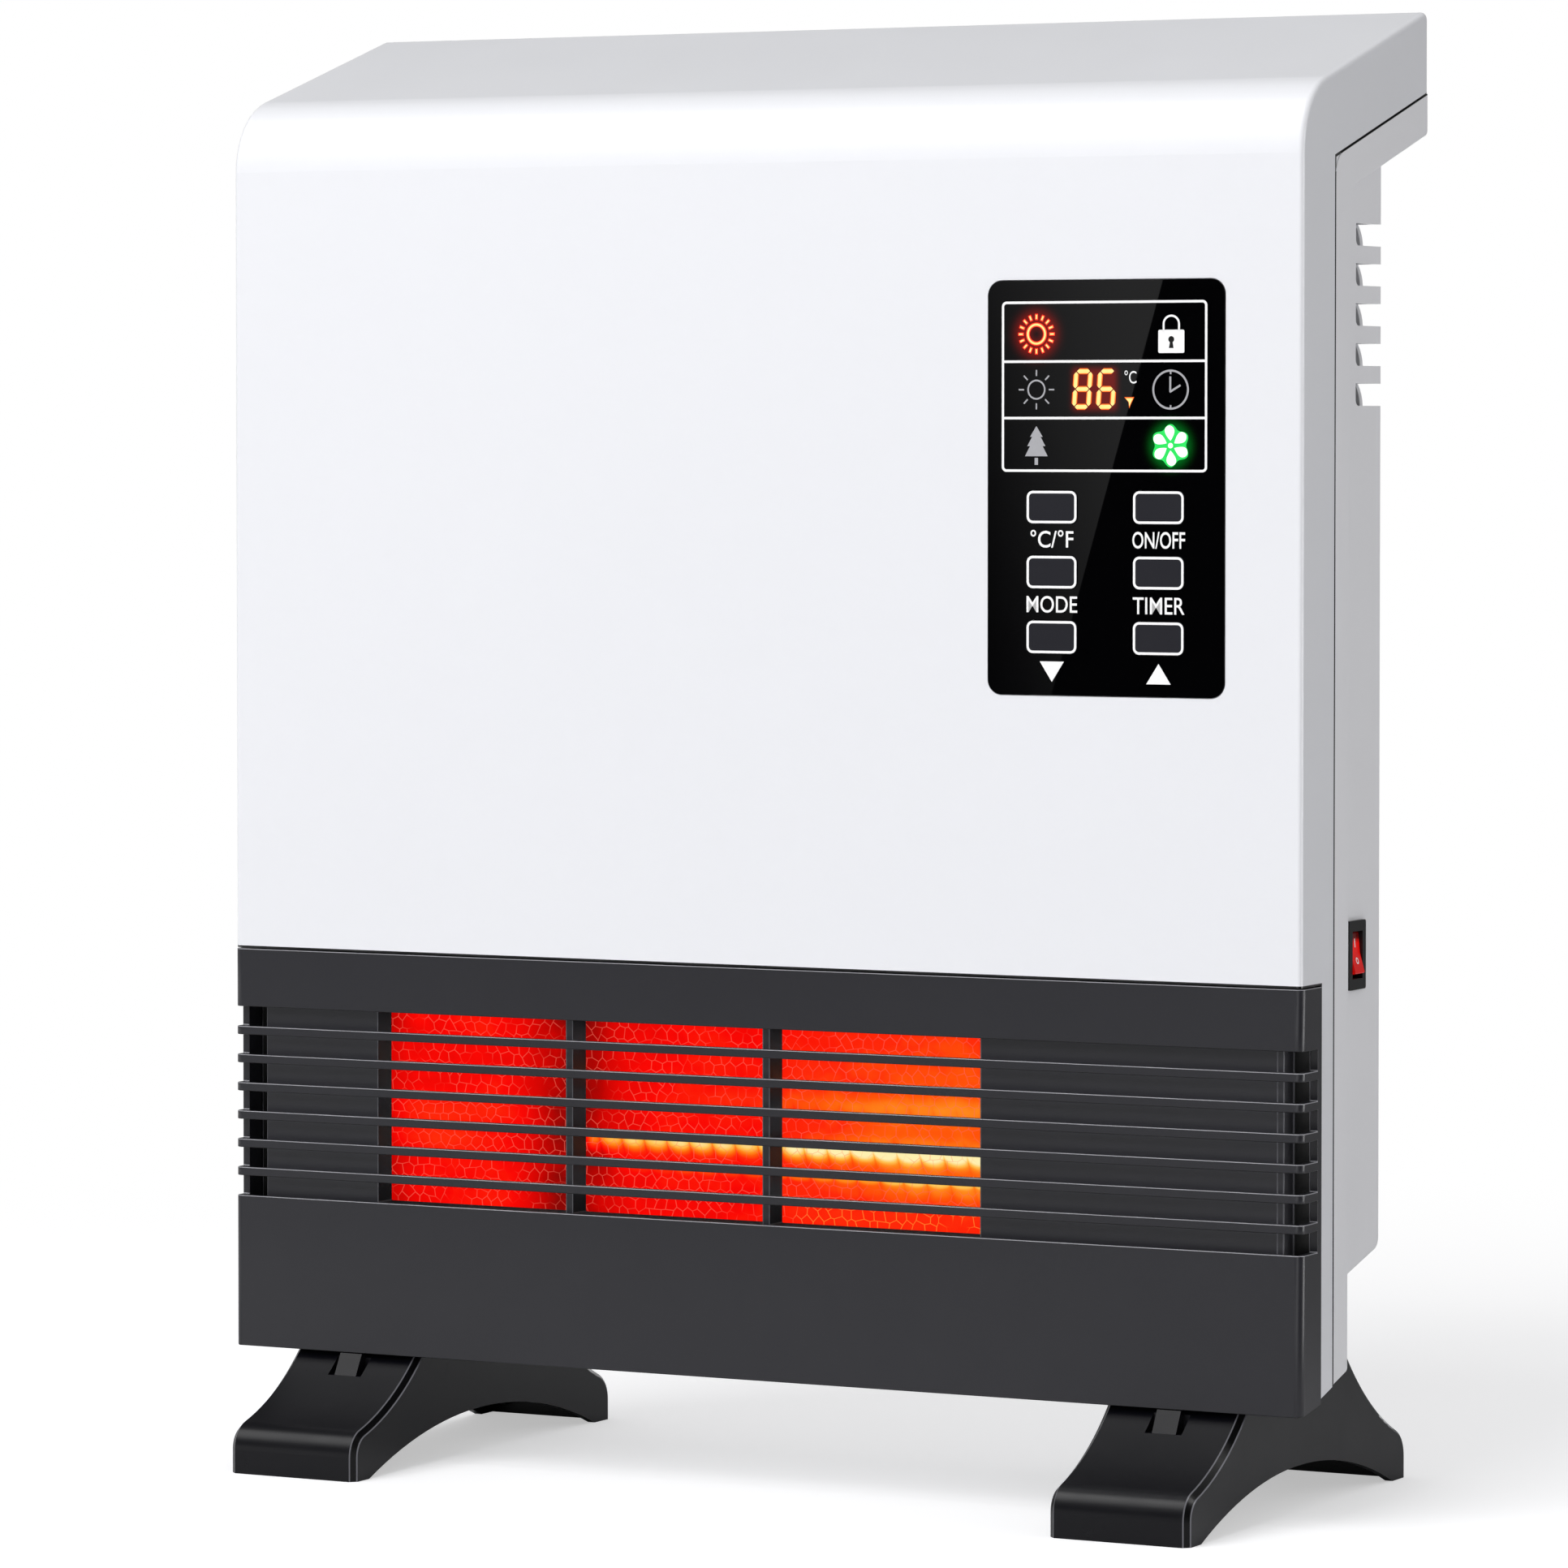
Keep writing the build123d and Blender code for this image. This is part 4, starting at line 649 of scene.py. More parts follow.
def band(path, width, depth=INK, closed=False):
    """A line of even width: a rectangle carried along the path, mitred where the path turns."""
    path = np.asarray(path, float)
    ahead = np.roll(path, -1, 0) - path
    if not closed:
        ahead[-1] = ahead[-2]
    ahead /= np.linalg.norm(ahead, axis=1)[:, None]
    behind = np.roll(ahead, 1, 0)
    if not closed:
        behind[0] = ahead[0]
    side = np.stack([-(ahead + behind)[:, 1], (ahead + behind)[:, 0]], 1)
    side /= np.linalg.norm(side, axis=1)[:, None]
    normal = np.stack([-ahead[:, 1], ahead[:, 0]], 1)
    reach = side * (width / 2 / np.sum(side * normal, 1))[:, None]
    near, far = (np.insert(path + way * reach, 2, 0, axis=1) for way in (-1, 1))
    lift = np.array([0, 0, depth])
    points = np.stack([near, far, far + lift, near + lift], 1).reshape(-1, 3)
    faces = grid_faces(len(path), 4, True, closed)
    if not closed:
        last = 4 * (len(path) - 1)
        faces += [[0, 1, 2, 3], [last + 3, last + 2, last + 1, last]]
    return points, faces


def ring(path, width, depth=INK):
    """A closed line of even width."""
    return band(path, width, depth, True)


def join(*solids):
    """Several solids as one list of points and faces."""
    points, faces, count = [], [], 0
    for solid_points, solid_faces in solids:
        points.append(solid_points)
        faces += [[count + index for index in face] for face in solid_faces]
        count += len(solid_points)
    return np.concatenate(points), faces


def linked(name, data):
    """A new object in the scene."""
    made = bpy.data.objects.new(name, data)
    bpy.context.scene.collection.objects.link(made)
    return made


def mesh_object(name, points, faces, material):
    """A new mesh object in the scene, from points in metres."""
    mesh = bpy.data.meshes.new(name)
    mesh.from_pydata(points, [], faces)
    mesh.materials.append(material)
    return linked(name, mesh)


def piece(name, points, faces, material, slot, body=ROOT):
    """A finished object from points in millimetres, with outward faces, on its body. Its slot is not
    used.
    """
    made = mesh_object(name, (np.asarray(points) * MM).tolist(), faces, material)
    shell = bmesh.new()
    shell.from_mesh(made.data)
    bmesh.ops.recalc_face_normals(shell, faces=shell.faces)
    shell.to_mesh(made.data)
    shell.free()
    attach(made, body)
    return made


def on_front(name, solids, material, slot="display_lens", front=OVERLAY_FRONT, body=ROOT):
    """A piece of several solids, given across, up and proud, that lies on a front face."""
    points, faces = join(*solids)
    lying = np.stack([points[:, 0], front - points[:, 2], points[:, 1]], 1)
    return piece(name, lying, faces, material, slot, body)


def word(text, height, centre, width, weight=0.0):
    """A word as solids: Blender's own letters as a mesh, fitted to a height, a width and a centre."""
    curve = bpy.data.curves.new("word", "FONT")
    curve.body = text
    curve.offset = weight
    curve.extrude = 0.02
    curve.resolution_u = 6
    letters = linked("word", curve)
    bpy.context.view_layer.update()
    mesh = bpy.data.meshes.new_from_object(letters)
    points = np.zeros(len(mesh.vertices) * 3)
    mesh.vertices.foreach_get("co", points)
    points = points.reshape(-1, 3)
    faces = [list(face.vertices) for face in mesh.polygons]
    bpy.data.objects.remove(letters)
    bpy.data.curves.remove(curve)
    bpy.data.meshes.remove(mesh)
    low, high = points.min(0), points.max(0)
    scale = (width / (high[0] - low[0]), height / (high[1] - low[1]), 0)
    fitted = (points - (low + high) / 2) * scale
    fitted[:, :2] += centre
    fitted[:, 2] = np.where(points[:, 2] > 0, INK, 0)
    return fitted, faces


def spokes(count, inner, outer, width, centre, depth=INK):
    """Short rays round a centre: one bar turned by equal steps."""
    return [band([centre + way * inner, centre + way * outer], width, depth) for way in circle(count)]


# A figure's bars, by their ends in halves of its frame, and those that 0 to 9 leave dark
BARS = (
    ((-1, 1), (1, 1)),
    ((-1, 0), (1, 0)),
    ((-1, -1), (1, -1)),
    ((-1, 0), (-1, 1)),
    ((1, 0), (1, 1)),
    ((-1, -1), (-1, 0)),
    ((1, -1), (1, 0)),
)
DARK_BARS = ("1", "01235", "36", "35", "025", "45", "4", "1235", "", "5")


def figure(number, centre, stroke, depth, width=4.7, height=10.6, lean=0.07, gap=0.22):
    """A seven-segment figure: bars with pointed ends between the corners of a leaning frame."""
    solids = []
    half = np.array([width / 2, height / 2])
    for bar, ends in enumerate(BARS):
        if str(bar) in DARK_BARS[int(number)]:
            continue
        start, end = (np.array(point) * half for point in ends)
        way = (end - start) / np.linalg.norm(end - start)
        side = np.array([-way[1], way[0]]) * stroke / 2
        nib = way * stroke / 2
        start, end = start + way * gap, end - way * gap
        near = [start + nib + side, start, start + nib - side]
        outline = np.array([*near[1:], end - nib - side, end, end - nib + side, near[0]])
        outline[:, 0] += lean * outline[:, 1]
        solids.append(plate(outline + centre, depth))
    return solids


def petal(turn, inner, outer, width, centre):
    """A drop-shaped fan blade: its half width is a root of the sine of a power of the way along it, so
    it is pointed at the hub and round outside, and it is swept a little to a side."""
    along = (1 - np.cos(np.linspace(0, pi, 18))) / 2
    reach = inner + (outer - inner) * along
    half = width / 2 * np.sin(pi * np.clip(along, 0, 1) ** 1.6).clip(0) ** 0.55
    sweep = 0.35 * np.sin(pi * along / 2)
    x = np.concatenate([reach, reach[::-1]])
    y = np.concatenate([sweep - half, (sweep + half)[::-1]])
    spun = np.stack([x * cos(turn) - y * sin(turn), x * sin(turn) + y * cos(turn)], 1)
    return spun + centre


def make_camera(context, studio):
    """The photograph's view: nearly level, from the right, through a long lens."""
    data = bpy.data.cameras.new("camera")
    data.lens = studio.lens
    data.shift_y = CAMERA_SHIFT
    eye = linked("camera", data)
    eye.location = CAMERA
    eye.rotation_euler = (radians(90 - CAMERA_DIP), 0, radians(CAMERA_TURN))
    context.scene.camera = eye


def rays(paint):
    """Whether a ray comes from the camera, from gloss or through glass."""
    kinds = ("Is Camera Ray", "Is Glossy Ray", "Is Transmission Ray")
    return [paint.node("LightPath", output=kind) for kind in kinds]


def floor_paint(studio):
    """Pale floor that keeps the shadow, and fades into the white backdrop further out."""
    paint = Paint("floor")
    x, y, _ = paint.axes()
    far = paint.between((x * x + y * y).math("SQRT"), *FLOOR_FADE)
    camera, glossy, through = rays(paint)
    ray = camera.max(glossy).max(through)
    tone = paint.mix(paint.noise(9, 3), shade(studio.floor, 0.985), studio.floor)
    matt = paint.node("BsdfDiffuse", {"Color": tone})
    lift = paint.node("Emission", {"Strength": camera * FLOOR_LIFT})
    near = paint.node("AddShader", {0: matt, 1: lift})
    white = paint.node("Emission", {"Strength": 1.0})
    return paint.finish(paint.node("MixShader", {0: far * ray, 1: near, 2: white}))


def make_floor(studio):
    """A large sheet of floor: rings of points on even angles, each ring twice as far as the last."""
    count = 48
    reach = 0.25 * 2.0 ** np.arange(7)
    way = np.column_stack([circle(count), np.zeros(count)])
    points = np.concatenate([(reach[:, None, None] * way[None]).reshape(-1, 3), [[0, 0, 0]]])
    hub = len(points) - 1
    faces = grid_faces(len(reach), count, True) + [[hub, i, (i + 1) % count] for i in range(count)]
    mesh_object("floor", points.tolist(), faces, floor_paint(studio))


def make_world(context, studio):
    """Even sky for the light and white for the camera. Gloss sees a room that darkens upwards and
    behind, with a pale strip high on the left that draws the light lines along upper edges."""
    paint = Paint("backdrop", "worlds")
    context.scene.world = paint.material
    camera, glossy, through = rays(paint)
    seen = camera.max(through)
    x, y, z = paint.axes(paint.node("TexCoord", output="Generated"))
    room = (0.55 - 0.40 * paint.between(z, 0.1, 0.9)) * (1.0 - 0.65 * paint.between(y, 0.2, 0.5))
    strip = paint.inside(x, *SKY_STRIP[0]) * paint.inside(y, *SKY_STRIP[1])
    room = room + 3.6 * strip * paint.between(z, *SKY_STRIP[2])
    plain = studio.sky + glossy * (room - studio.sky)
    strength = plain + seen * (1.0 - plain)
    sky = paint.node("Background", {"Color": (1, 1, 1), "Strength": strength})
    paint.node("OutputWorld", {"Surface": sky})


def bearing(turn, rise=0.0):
    """The way to a bearing and a rise in degrees: sines and cosines, with the front along -Y."""
    flat = cos(radians(rise))
    return Vector((sin(radians(turn)) * flat, -cos(radians(turn)) * flat, sin(radians(rise))))


def make_lamps(studio):
    """A large softbox in front and above, a weak strip over the bend and a weak fill from a side."""
    for name, share, size, turn, rise, reach in LAMPS:
        data = bpy.data.lights.new(name, "AREA")
        data.shape = "RECTANGLE"
        data.size, data.size_y = size
        data.energy = studio.key_power * share
        lamp = linked(name, data)
        way = bearing(turn, rise)
        lamp.location = LAMP_AIM + way * reach
        lamp.rotation_euler = way.to_track_quat("Z", "Y").to_euler()
        lamp.visible_camera = False
        lamp.visible_glossy = name == "strip"


def make_card(paint, corners, level):
    """One flat card, seen in gloss alone, whose brightness is a number or a value from nodes."""
    glow = paint.finish(paint.node("Emission", {"Strength": level}))
    card = mesh_object(glow.name, [tuple(corner) for corner in corners], [[0, 1, 2, 3]], glow)
    for kind in ("camera", "diffuse", "shadow", "transmission"):
        setattr(card, "visible_" + kind, False)


def mirrored(x, z):
    """Where the camera's ray goes once the panel mirrors it at a place on it, and its direction."""
    place = Vector((x * MM, OVERLAY_FRONT * MM, z * MM))
    ray = (place - Vector(CAMERA)).normalized()
    ray.y = -ray.y
    return place + ray * CARD_REACH, ray


def make_cards():
    """Cards that only gloss sees: upright ones round the object, which draw dark bands and light lines
    down its corners, and before the panel a dark one and a pale one whose edge crosses it aslant."""
    for name, start, end, top, level in CARDS:
        sides = [bearing(turn) * CARD_RING for turn in (start, end)]
        lift = Vector((0, 0, top))
        make_card(Paint(name), [*sides, sides[1] + lift, sides[0] + lift], level)
    (foot, way), (top, _) = mirrored(103.0, 247), mirrored(139.5, 371)
    edge = (top - foot).normalized()
    left = way.cross(edge).normalized()
    for name, near, back in PANEL_CARDS:
        low = foot - edge * 0.3 + way * back
        high = top + edge * 0.3 + way * back
        paint = Paint(name)
        level = 0.0
        if name == "pale_card":
            fade = left * 1.8 - edge
            sockets = {0: paint.place(), 1: fade}
            beyond = paint.node("VectorMath", sockets, "Value", operation="DOT_PRODUCT")
            level = 0.02 + 0.44 * paint.between(beyond - fade.dot(foot), 0.07, -0.2)
        corners = [low + left * near, low + left * 0.5, high + left * 0.5, high + left * near]
        make_card(paint, corners, level)


class HEATER_OT_studio(bpy.types.Operator):
    """Floor, white backdrop, soft lamps, reflection cards and camera"""

    bl_idname = "heater.studio"
    bl_label = "Studio"

    def execute(self, context):
        """Make the stage and aim the camera."""
        studio = context.scene.heater_studio
        make_camera(context, studio)
        make_floor(studio)
        make_world(context, studio)
        make_lamps(studio)
        make_cards()
        context.scene.view_settings.view_transform = "Standard"
        return {"FINISHED"}


class HEATER_OT_casing(bpy.types.Operator):
    """Finishes of the cover, frame, housing, bezel, louvre plate and feet"""

    bl_idname = "heater.casing"
    bl_label = "Casing"

    def execute(self, context):
        """Dress the outer nodes."""
        finish = context.scene.heater_finish
        # The cover and the shell carry painted shadow lines in their joints
        dress(powder_coat("white_powder_coat", finish.cover, finish.seam), "front_cover")
        shell = moulded("grey_shell", finish.shell, 0.42, 2200, 0.03, patch=0.02, line=finish.seam)
        dress(shell, "back_frame", "rear_housing")
        # The pale colours are painted highlights on the edges, which also get painted shade
        louvre = moulded("charcoal_louvre", finish.bezel, 0.32, 2600, 0.03, rim=(2, "#A8A8AE"))
        dress(louvre, "grille_bezel")
        backing = moulded("charcoal_plate", finish.plate, 0.40, 2600, 0.03, rim=(0, "#74747A"))
        dress(backing, "louvre_backplate")
        rim = (FOOT, "#77777D")
        black = moulded("black_foot", finish.foot, 0.30, 3000, 0.02, specular=0.30, rim=rim)
        dress(black, "foot_left", "foot_right")
        crisp(0.22, "grille_bezel")
        crisp(0.35, "louvre_backplate")
        return {"FINISHED"}


def heat_colour(paint, glow):
    """Colour of the heat at a place. Heat is patchy, rises to the right, falls beside the window's first
    bar and at its left end, and swells along rows: each is a bell curve of height times a step of the
    way across, and scallops, a power of a sine of the way across, divide some. Warm spots are bells."""
    x, _, z = paint.axes()
    patches = paint.noise(55, 3, 0.55, (1, 1, 1.4)) - 0.5
    lobe = ((x / (8.0 * MM) + z / (30.0 * MM)).math("FRACT") * pi).math("SINE").math("POWER", 0.4)
    dark = paint.bell(x, *DARK_BAND) * (patches * 3.0 + 0.9).max(0.0)
    heat = 0.36 + patches * 0.26 - dark * 0.30 - 0.12 * paint.bell(x, *DARK_END)
    heat = heat + 0.22 * paint.between(x, *WARM_STEP) * paint.bell(z, *WARM_HEIGHT)
    swell = z + lobe * 0.0014
    for level, height, spread, start, end, scalloped in HEAT_ROWS:
        row = paint.bell(swell, height, spread) * paint.between(x, start, end)
        if level > HOT_ROW:
            row = row * paint.between(z, *HOT_ROW_TOP)
        heat = heat + row * (lobe * (level * scalloped) + level * (1 - scalloped))
    for level, height, middle in WARM_SPOTS:
        heat = heat + level * paint.bell(z, height, 0.004) * paint.bell(x, middle, 0.022)
    stops = [
        (0.0, glow.ember),
        (0.20, shade(glow.red, 0.5)),
        (0.36, glow.red),
        (0.50, "#FF2A0A"),
        (0.62, glow.orange),
        (0.74, "#FF8C1E"),
        (0.86, "#FFC454"),
        (1.0, glow.white_hot),
    ]
    return paint.node("ValToRGB", {"Fac": heat}, stops=stops)


def glowing(paint, colour, roughness=0.5):
    """A surface that gives off its own colour alone."""
    return paint.principled("#180302", roughness, colour, specular_ior_level=0.0)


def wall_paint(glow):
    """The honeycomb's walls: the heat behind them, with pale flecks where they catch the light."""
    paint = Paint("honeycomb_wall")
    x, _, z = paint.axes()
    fleck = paint.between(paint.noise(110, 2), 0.30, 0.58) * 0.45
    low_row = paint.between(x, *LOW_ROW[0]) * paint.between(z, *LOW_ROW[1])
    edge = paint.mix(low_row, "#FF6A58", "#FFA43C")
    return glowing(paint, paint.mix(fleck, heat_colour(paint, glow), edge))


def make_honeycomb(glow):
    """Thin raised walls round hexagons on a triangular lattice. A corner strays by a fixed pseudo-random
    amount of its own place, so that the cells that share it still meet, and the inner outline of a cell
    is its corners drawn towards its middle by half a wall."""
    low, high = (np.array(corner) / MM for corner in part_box("honeycomb_screen"))
    pitch = glow.cell / MM
    side = pitch / np.sqrt(3)
    columns = int((high[0] - low[0]) / pitch) - 1
    rows = int((high[2] - low[2]) / (1.5 * side)) - 1
    i, j = np.meshgrid(np.arange(columns), np.arange(rows), indexing="ij")
    across, up = low[0] + pitch * (i + 0.5 * (j % 2) + 0.9), low[2] + 1.5 * side * (j + 1.0)
    middle = np.stack([across, up], -1).reshape(-1, 2)
    turn = radians(30) + np.arange(6) * pi / 3
    corner = middle[:, None] + side * np.stack([np.cos(turn), np.sin(turn)], 1)[None]
    spot = np.round(corner * 20).astype(np.int64)
    for axis, (first, second) in enumerate(STRAY_SEEDS):
        seed = np.sin(spot[..., 0] * first + spot[..., 1] * second) * 43758.5453
        corner[..., axis] += glow.unevenness / MM * 2 * (seed - np.floor(seed) - 0.5)
    heart = corner.mean(1, keepdims=True)
    inner = heart + (corner - heart) * (1 - glow.wall / MM / side)
    flat = np.concatenate([corner, inner], 1).reshape(-1, 2)
    depths = (low[1] - WALL_RISE, low[1])
    points = np.concatenate([np.insert(flat, 1, depth, axis=1) for depth in depths])
    start = np.arange(len(middle))[:, None] * 12
    a, b = start + np.arange(6)[None], start + (np.arange(6)[None] + 1) % 6
    back = len(flat)
    quads = [(a + level, b + level, b + level + 6, a + level + 6) for level in (0, back)]
    quads += [(a + side, b + side, b + side + back, a + side + back) for side in (6, 0)]
    faces = np.concatenate([np.stack(quad, -1).reshape(-1, 4) for quad in quads]).tolist()
    return piece("honeycomb_walls", points, faces, wall_paint(glow), "screen_glow")


def make_coils():
    """The wire of both heating coils: a hexagon carried along a helix inside the coil's envelope."""
    low, high = (np.array(corner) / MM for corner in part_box("filaments"))
    sides, steps = 6, 14
    turns = int((high[0] - low[0] - 2 * COIL_MARGIN) / COIL_PITCH)
    angle = np.linspace(0, 2 * pi * turns, turns * steps + 1)
    along = low[0] + COIL_MARGIN + COIL_PITCH * angle / (2 * pi)
    spin = np.arange(sides) * 2 * pi / sides
    reach = COIL_RADIUS + WIRE_RADIUS * np.cos(spin)[None]
    x = along[:, None] + WIRE_RADIUS * np.sin(spin)[None]
    last = sides * (len(angle) - 1)
    faces = grid_faces(len(angle), sides, True)
    faces += [list(range(sides)), list(range(last, last + sides))]
    solids = []
    for axis_y, axis_z in COIL_AXES:
        y = axis_y + reach * np.cos(angle)[:, None]
        z = axis_z + reach * np.sin(angle)[:, None]
        solids.append((np.stack([x, y, z], -1).reshape(-1, 3), faces))
    paint = Paint("hot_wire")
    hot = paint.mix(paint.noise(60, 2), "#FF5A10", "#FFC060")
    wire = paint.principled("#604030", 0.5, hot)
    coil = piece("coil_wire", *join(*solids), wire, "filament_wire")
    coil.data.shade_smooth()
    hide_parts("filaments")


class HEATER_OT_screen(bpy.types.Operator):
    """The glowing screen, its raised honeycomb and the heating coils behind it"""

    bl_idname = "heater.screen"
    bl_label = "Screen"

    def execute(self, context):
        """Paint the heat and lay the honeycomb over it."""
        glow = context.scene.heater_glow
        paint = Paint("heat_glow")
        heat = glowing(paint, heat_colour(paint, glow), paint.noise(90, 2) * 0.1 + 0.5)
        dress(heat, "honeycomb_screen")
        walls = make_honeycomb(glow)
        make_coils()
        for lit_piece in (nodes["honeycomb_screen"], walls):
            lit_piece.visible_diffuse = False
            lit_piece.visible_glossy = False
        return {"FINISHED"}


def panel_gloss(finish):
    """Smoked gloss sheet, with the glow that the lit symbols cast round themselves under it."""
    paint = Paint("panel_gloss_black")
    x, _, z = paint.axes()
    halo = (0, 0, 0)
    for centre, size, radius, spread, colour, level in HALOS:
        aside = (abs(x - centre[0]) - size[0]).max(0.0)
        above = (abs(z - centre[1]) - size[1]).max(0.0)
        distance = (aside * aside + above * above).math("SQRT")
        halo = paint.mix(paint.bell(distance, radius, spread) * level, halo, colour)
    return paint.principled(
        finish.panel,
        paint.noise(30, 4, 0.6) * 0.01 + 0.002,
        glow=halo,
        specular_ior_level=0.5,
    )


def print_frame(text, ink):
    """The rounded frame round the display and its two dividers."""
    line = text.line / MM
    width, height = DISPLAY_SIZE[0] - line, DISPLAY_SIZE[1] - line
    solids = [ring(rounded(width, height, 1.2, DISPLAY), line)]
    for z in DIVIDERS:
        ends = [(DISPLAY[0] + side * width / 2, z) for side in (-1, 1)]
        solids.append(band(ends, line, INK * 0.9))
    on_front("display_frame", solids, ink, "panel_gloss")


def print_words(text, ink):
    """The words and arrows under the keys."""
    capitals = text.word_height / MM
    solids = [word(name, capitals * tall, *rest) for name, tall, *rest in WORDS]
    solids.append(plate([(LEFT_COLUMN - 4, 257.3), (LEFT_COLUMN, 251.2), (LEFT_COLUMN + 4, 257.3)]))
    solids.append(plate([(RIGHT_COLUMN - 4, 251.0), (RIGHT_COLUMN + 4, 251.0), (RIGHT_COLUMN, 257.1)]))
    on_front("key_words", solids, ink, "panel_gloss")


def lit_symbols(text):
    """The red sun, the orange reading and the green fan, each a wide shape under a brighter thin one."""
    red = lit("lit_red", "#FF2410", "#FF3A14")
    amber = lit("lit_amber", "#FFD070", "#FFE9A0")
    orange = lit("lit_orange", "#FF5A10", "#FF8020")
    green = lit("lit_green", "#10C84A", "#30E468")
    pale = lit("lit_pale", "#F4FFF4", "#FFFFFF")
    over = INK * 1.5
    for name, paint, wide, trim, depth in (
        ("sun_glow", red, 1.25, 0.0, INK),
        ("sun_lines", amber, 0.62, 0.3, over),
    ):
        beams = spokes(16, 4.2 + trim, 6.1 - trim, wide * 0.8, SUN, depth)
        on_front(name, [ring(disc(2.85, 36, SUN), wide, depth), *beams], paint)
    tail = np.array([(127.0, 336.3), (130.2, 336.3), (129.3, 334.6), (128.6, 333.0), (128.4, 334.8)])
    for name, paint, stroke, shrink, depth in (
        ("reading_glow", orange, 1.75, 1.0, INK),
        ("reading_lines", amber, 1.15, 0.75, over),
    ):
        solids = []
        for number, place in zip(text.reading, FIGURES_AT):
            solids += figure(number, place, stroke, depth)
        solids.append(plate(tail.mean(0) + (tail - tail.mean(0)) * shrink, depth))
        on_front(name, solids, paint)
    turns = np.arange(6) * pi / 3 + pi / 2
    angle = np.arange(96) * 2 * pi / 96
    reach = 5.75 + 0.65 * np.cos(6 * (angle - turns[0]))
    rosette = np.stack([reach * np.cos(angle), reach * np.sin(angle)], 1) + FAN
    on_front("fan_glow", [plate(rosette)], green)
    blades = [plate(petal(turn, 1.45, 6.0, 3.15, FAN), over) for turn in turns]
    on_front("fan_blades", [plate(disc(0.8, 24, FAN), over), *blades], pale)


def plain_symbols(ink, dim):
    """The padlock, the degree mark, and the grey sun, clock and tree."""
    arch = np.linspace(0, pi, 18)
    arch = np.stack([2.5 * np.cos(arch), 5.2 + 2.4 * np.sin(arch)], 1)
    shackle = np.concatenate([[(2.5, 3.2)], arch, [(-2.5, 3.2)]]) + LOCK
    body = plate(rounded(8.5, 6.9, 0.5, LOCK))
    degree = word("°C", 3.9, (129.0, 342.3), 3.9)
    on_front("lock_symbol", [body, band(shackle, 0.62), degree], ink)
    slit = np.array([(-0.35, 0.4), (-0.75, -2.0), (0.75, -2.0), (0.35, 0.4)])
    hole = [plate(disc(0.95, 24, LOCK + (0, 0.6)), INK * 1.5), plate(slit + LOCK, INK * 1.4)]
    on_front("lock_keyhole", hole, printed("dark_ink", (0.002, 0.002, 0.002)))
    tiers = [(0, 5.8), (2.1, 2.6), (1.4, 2.6), (3.0, -0.2), (2.1, -0.2), (3.75, -3.2)]
    crown = np.array(tiers + [(-x, z) for x, z in tiers[:0:-1]])
    trunk = np.array([(-0.55, -5.8), (0.55, -5.8), (0.55, -3.7), (-0.55, -3.7)])
    solids = [
        ring(disc(2.75, 36, DULL_SUN), 0.5),
        *spokes(8, 4.1, 5.9, 0.45, DULL_SUN),
        ring(disc(5.65, 44, CLOCK), 0.6),
        band([CLOCK + (-0.1, 3.9), CLOCK + (-0.1, -0.7)], 0.6),
        band([CLOCK + (-0.3, -0.7), CLOCK + (3.2, 1.3)], 0.6, INK * 0.9),
        *(band([CLOCK + (0, s * 4.6), CLOCK + (0, s * 5.4)], 0.5, INK * 0.8) for s in (-1, 1)),
        plate(crown + TREE),
        plate(trunk + TREE),
    ]
    on_front("dim_symbols", solids, dim)


def key_outlines(text, ink):
    """A white line round each key's cap, which moves with the key."""
    line = text.line / MM
    width, height, radius = KEY_SIZE
    for index, name in enumerate(KEYS):
        centre = ((LEFT_COLUMN, RIGHT_COLUMN)[index % 2], KEY_ROWS[index // 2])
        path = rounded(width - line - 0.1, height - line - 0.1, radius - line / 2, centre)
        on_front(name + "_outline", [ring(path, line)], ink, "key_black", KEY_FRONT, name + "_body")


class HEATER_OT_controls(bpy.types.Operator):
    """Gloss of the control panel, its print, its lit symbols and the outlines of its keys"""

    bl_idname = "heater.controls"
    bl_label = "Controls"

    def execute(self, context):
        """Dress the panel and print on it."""
        finish = context.scene.heater_finish
        text = context.scene.heater_print
        ink = printed("white_ink", finish.ink)
        dress(panel_gloss(finish), "control_overlay")
        dress(moulded("key_cap", finish.key, 0.34, 2400, 0.01, specular=0.3), *KEYS)
        print_frame(text, ink)
        print_words(text, ink)
        lit_symbols(text)
        plain_symbols(ink, printed("grey_ink", finish.dim_ink))
        key_outlines(text, ink)
        return {"FINISHED"}


def on_rocker(points):
    """Marks (across, up, proud) on the rocker's dished face, turned with its tilt at rest."""
    z = points[:, 1]
    x = ROCKER_REACH - ROCKER_DIP + ROCKER_DIP * np.abs(z) / ROCKER_HALF + points[:, 2]
    c, s = cos(ROCKER_TILT), sin(ROCKER_TILT)
    return np.stack([x * c - z * s, points[:, 0], x * s + z * c], 1) + ROCKER_PIVOT


def red_lens(colour):
    """Clear red plastic that gives off some light of its own. Its lower half is painted darker as shade,
    and the end that is pressed into the switch is painted dark as shade."""
    paint = Paint("red_lens")
    z = paint.axes()[2]
    tone = paint.mix(paint.between(z, *ROCKER_LOW_SHADE), shade(colour, 0.7), colour)
    tone = paint.mix(paint.between(z, *ROCKER_END_SHADE), tone, shade(colour, 0.1))
    return paint.principled(
        tone,
        paint.noise(300, 2) * 0.06 + 0.22,
        normal=paint.bump(paint.noise(500, 1), 0.01, 0.3),
        specular_ior_level=0.3,
        glow=tone,
        strength=0.75,
    )


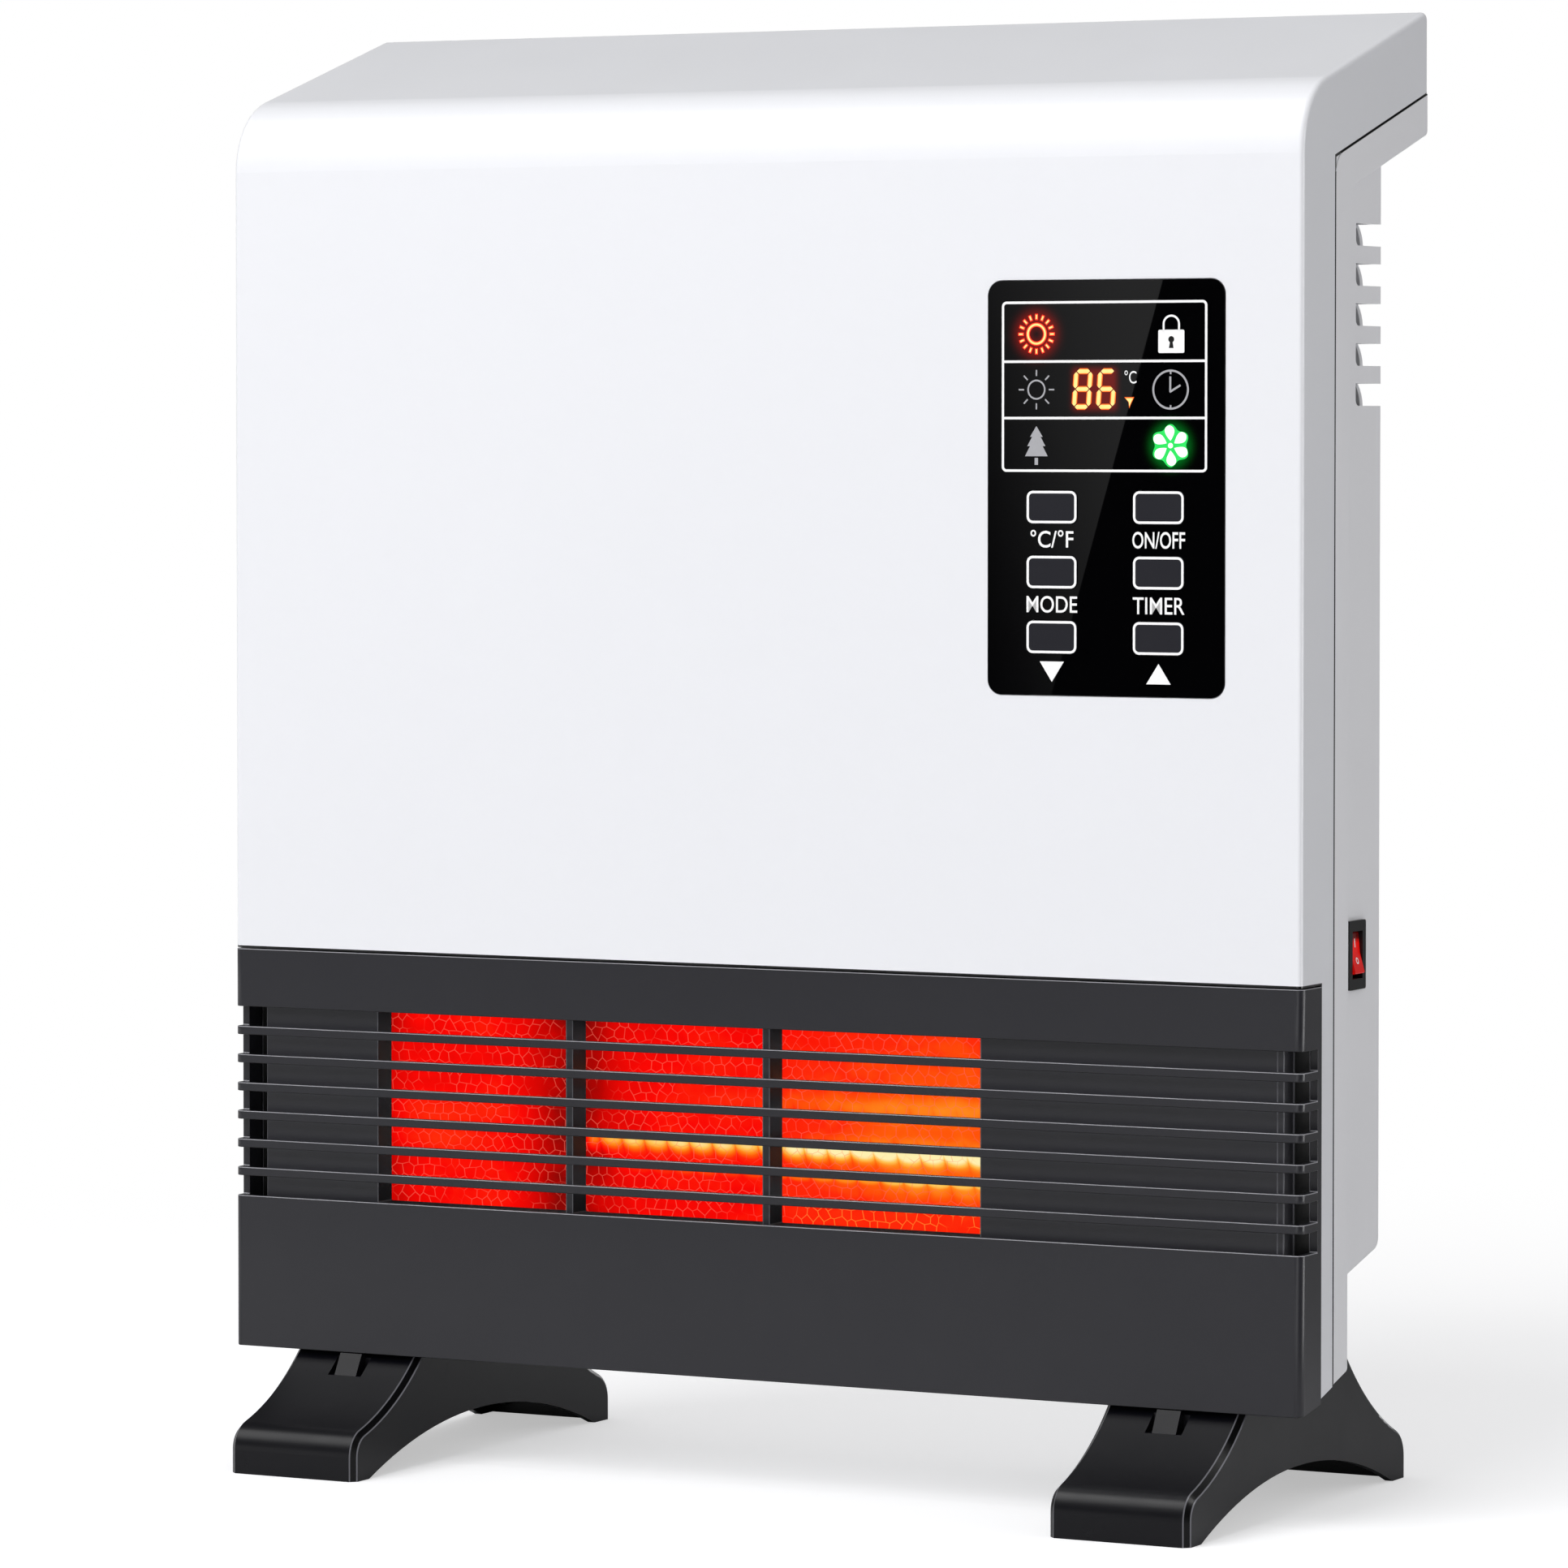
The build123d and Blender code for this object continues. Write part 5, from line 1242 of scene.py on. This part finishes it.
class HEATER_OT_switch(bpy.types.Operator):
    """The power switch, its rocker and the marks on the rocker"""

    bl_idname = "heater.switch"
    bl_label = "Power switch"

    def execute(self, context):
        """Dress the switch and mark the rocker."""
        finish = context.scene.heater_finish
        black = moulded("switch_black", "#0F1012", 0.34, 2600, 0.02, specular=0.35)
        dress(black, "switch_body", "cord_bush")
        dress(red_lens(finish.rocker), "switch_rocker")
        line = band([(0, 1.7), (0, 4.3)], 0.45)
        points, faces = join(line, ring(disc(0.7, 28, (0, -2.4), 1.2), 0.34))
        ink = printed("rocker_ink", finish.ink)
        piece("rocker_marks", on_rocker(points), faces, ink, "rocker_red", "rocker")
        return {"FINISHED"}


class HEATER_OT_workings(bpy.types.Operator):
    """Finishes of the heating chamber, fan, motor, boards and fasteners"""

    bl_idname = "heater.workings"
    bl_label = "Workings"

    def execute(self, context):
        """Dress the inner nodes."""
        sheet = spangled("galvanised_sheet", "#C4C8CC")
        dress(sheet, "tube_bracket_left", "tube_bracket_right", "heater_box", "fan_scroll")
        dress(sheet, "motor_bracket", "tip_switch", "tip_pendulum")
        dress(metal("bright_reflector", "#E8EAEE", 0.16, (0.05, 1, 1), 500), "reflector")
        dress(metal("fan_alloy", "#C9CCD2", 0.38, (0.04, 1, 1), 700), "fan_rotor")
        dress(metal("turned_shaft", "#BFC2C8", 0.26, (1, 0.1, 0.1), 900), "fan_shaft")
        dress(metal("bearing_bronze", "#B98A4E", 0.42, (1, 0.2, 0.2), 600), "fan_bush")
        dress(metal("tab_brass", "#D2B062", 0.30, (0.1, 1, 1), 600), "switch_tabs")
        screws = ("motor_screws", "board_screws", "foot_screws", "housing_screws", "cover_screws")
        dress(metal("zinc_screw", "#B4B8BE", 0.34, (1, 1, 1), 900, 0.02), *screws)
        laminated = ruled("laminated_core", "#3A3D42", "#8A8E96", 0, 0.5, 1.0, 0.42)
        dress(laminated, "motor_stator", "motor_rotor")
        dress(ruled("copper_winding", "#5A2410", "#C8703A", 0, 0.45, 0.8, 0.32), "motor_coil")
        dress(circuit("circuit_board"), "control_board", "power_board")
        black = moulded("black_component", "#1B1C1F", 0.44, 1800, 0.03)
        dress(black, "thermal_cutout", "tact_switches", "power_parts")
        dress(ceramic("ceramic"), "tube_caps", "terminal_block")
        dress(quartz("quartz_glass"), "quartz_tube_upper", "quartz_tube_lower")
        dress(smoked_lens("display_lens"), "display_module")
        return {"FINISHED"}


class HEATER_PT_parts(bpy.types.Panel):
    """Lists the heater's operators and settings"""

    bl_label = "Panel heater"
    bl_idname = "HEATER_PT_parts"
    bl_space_type = "VIEW_3D"
    bl_region_type = "UI"
    bl_category = "Heater"

    def draw(self, context):
        """One button for each group of pieces, then the settings."""
        for operator in OPERATORS:
            self.layout.operator(operator.bl_idname)
        for name, group in GROUPS.items():
            box = self.layout.box()
            for key in group.__annotations__:
                box.prop(getattr(context.scene, name), key)


OPERATORS = (
    HEATER_OT_studio,
    HEATER_OT_casing,
    HEATER_OT_screen,
    HEATER_OT_controls,
    HEATER_OT_switch,
    HEATER_OT_workings,
)
GROUPS = {
    "heater_finish": HeaterFinish,
    "heater_glow": HeaterGlow,
    "heater_print": HeaterPrint,
    "heater_studio": HeaterStudio,
}
CLASSES = (*GROUPS.values(), *OPERATORS, HEATER_PT_parts)


def register():
    """Register the classes and put the settings on the scene."""
    for item in CLASSES:
        bpy.utils.register_class(item)
    for name, group in GROUPS.items():
        setattr(bpy.types.Scene, name, bpy.props.PointerProperty(type=group))


def unregister():
    """Take the settings and the classes away again."""
    for name in GROUPS:
        delattr(bpy.types.Scene, name)
    for item in reversed(CLASSES):
        bpy.utils.unregister_class(item)


def main():
    """Make everything."""
    register()
    bpy.ops.heater.studio()
    bpy.ops.heater.casing()
    bpy.ops.heater.screen()
    bpy.ops.heater.controls()
    bpy.ops.heater.switch()
    bpy.ops.heater.workings()


if __name__ == "__main__":
    main()
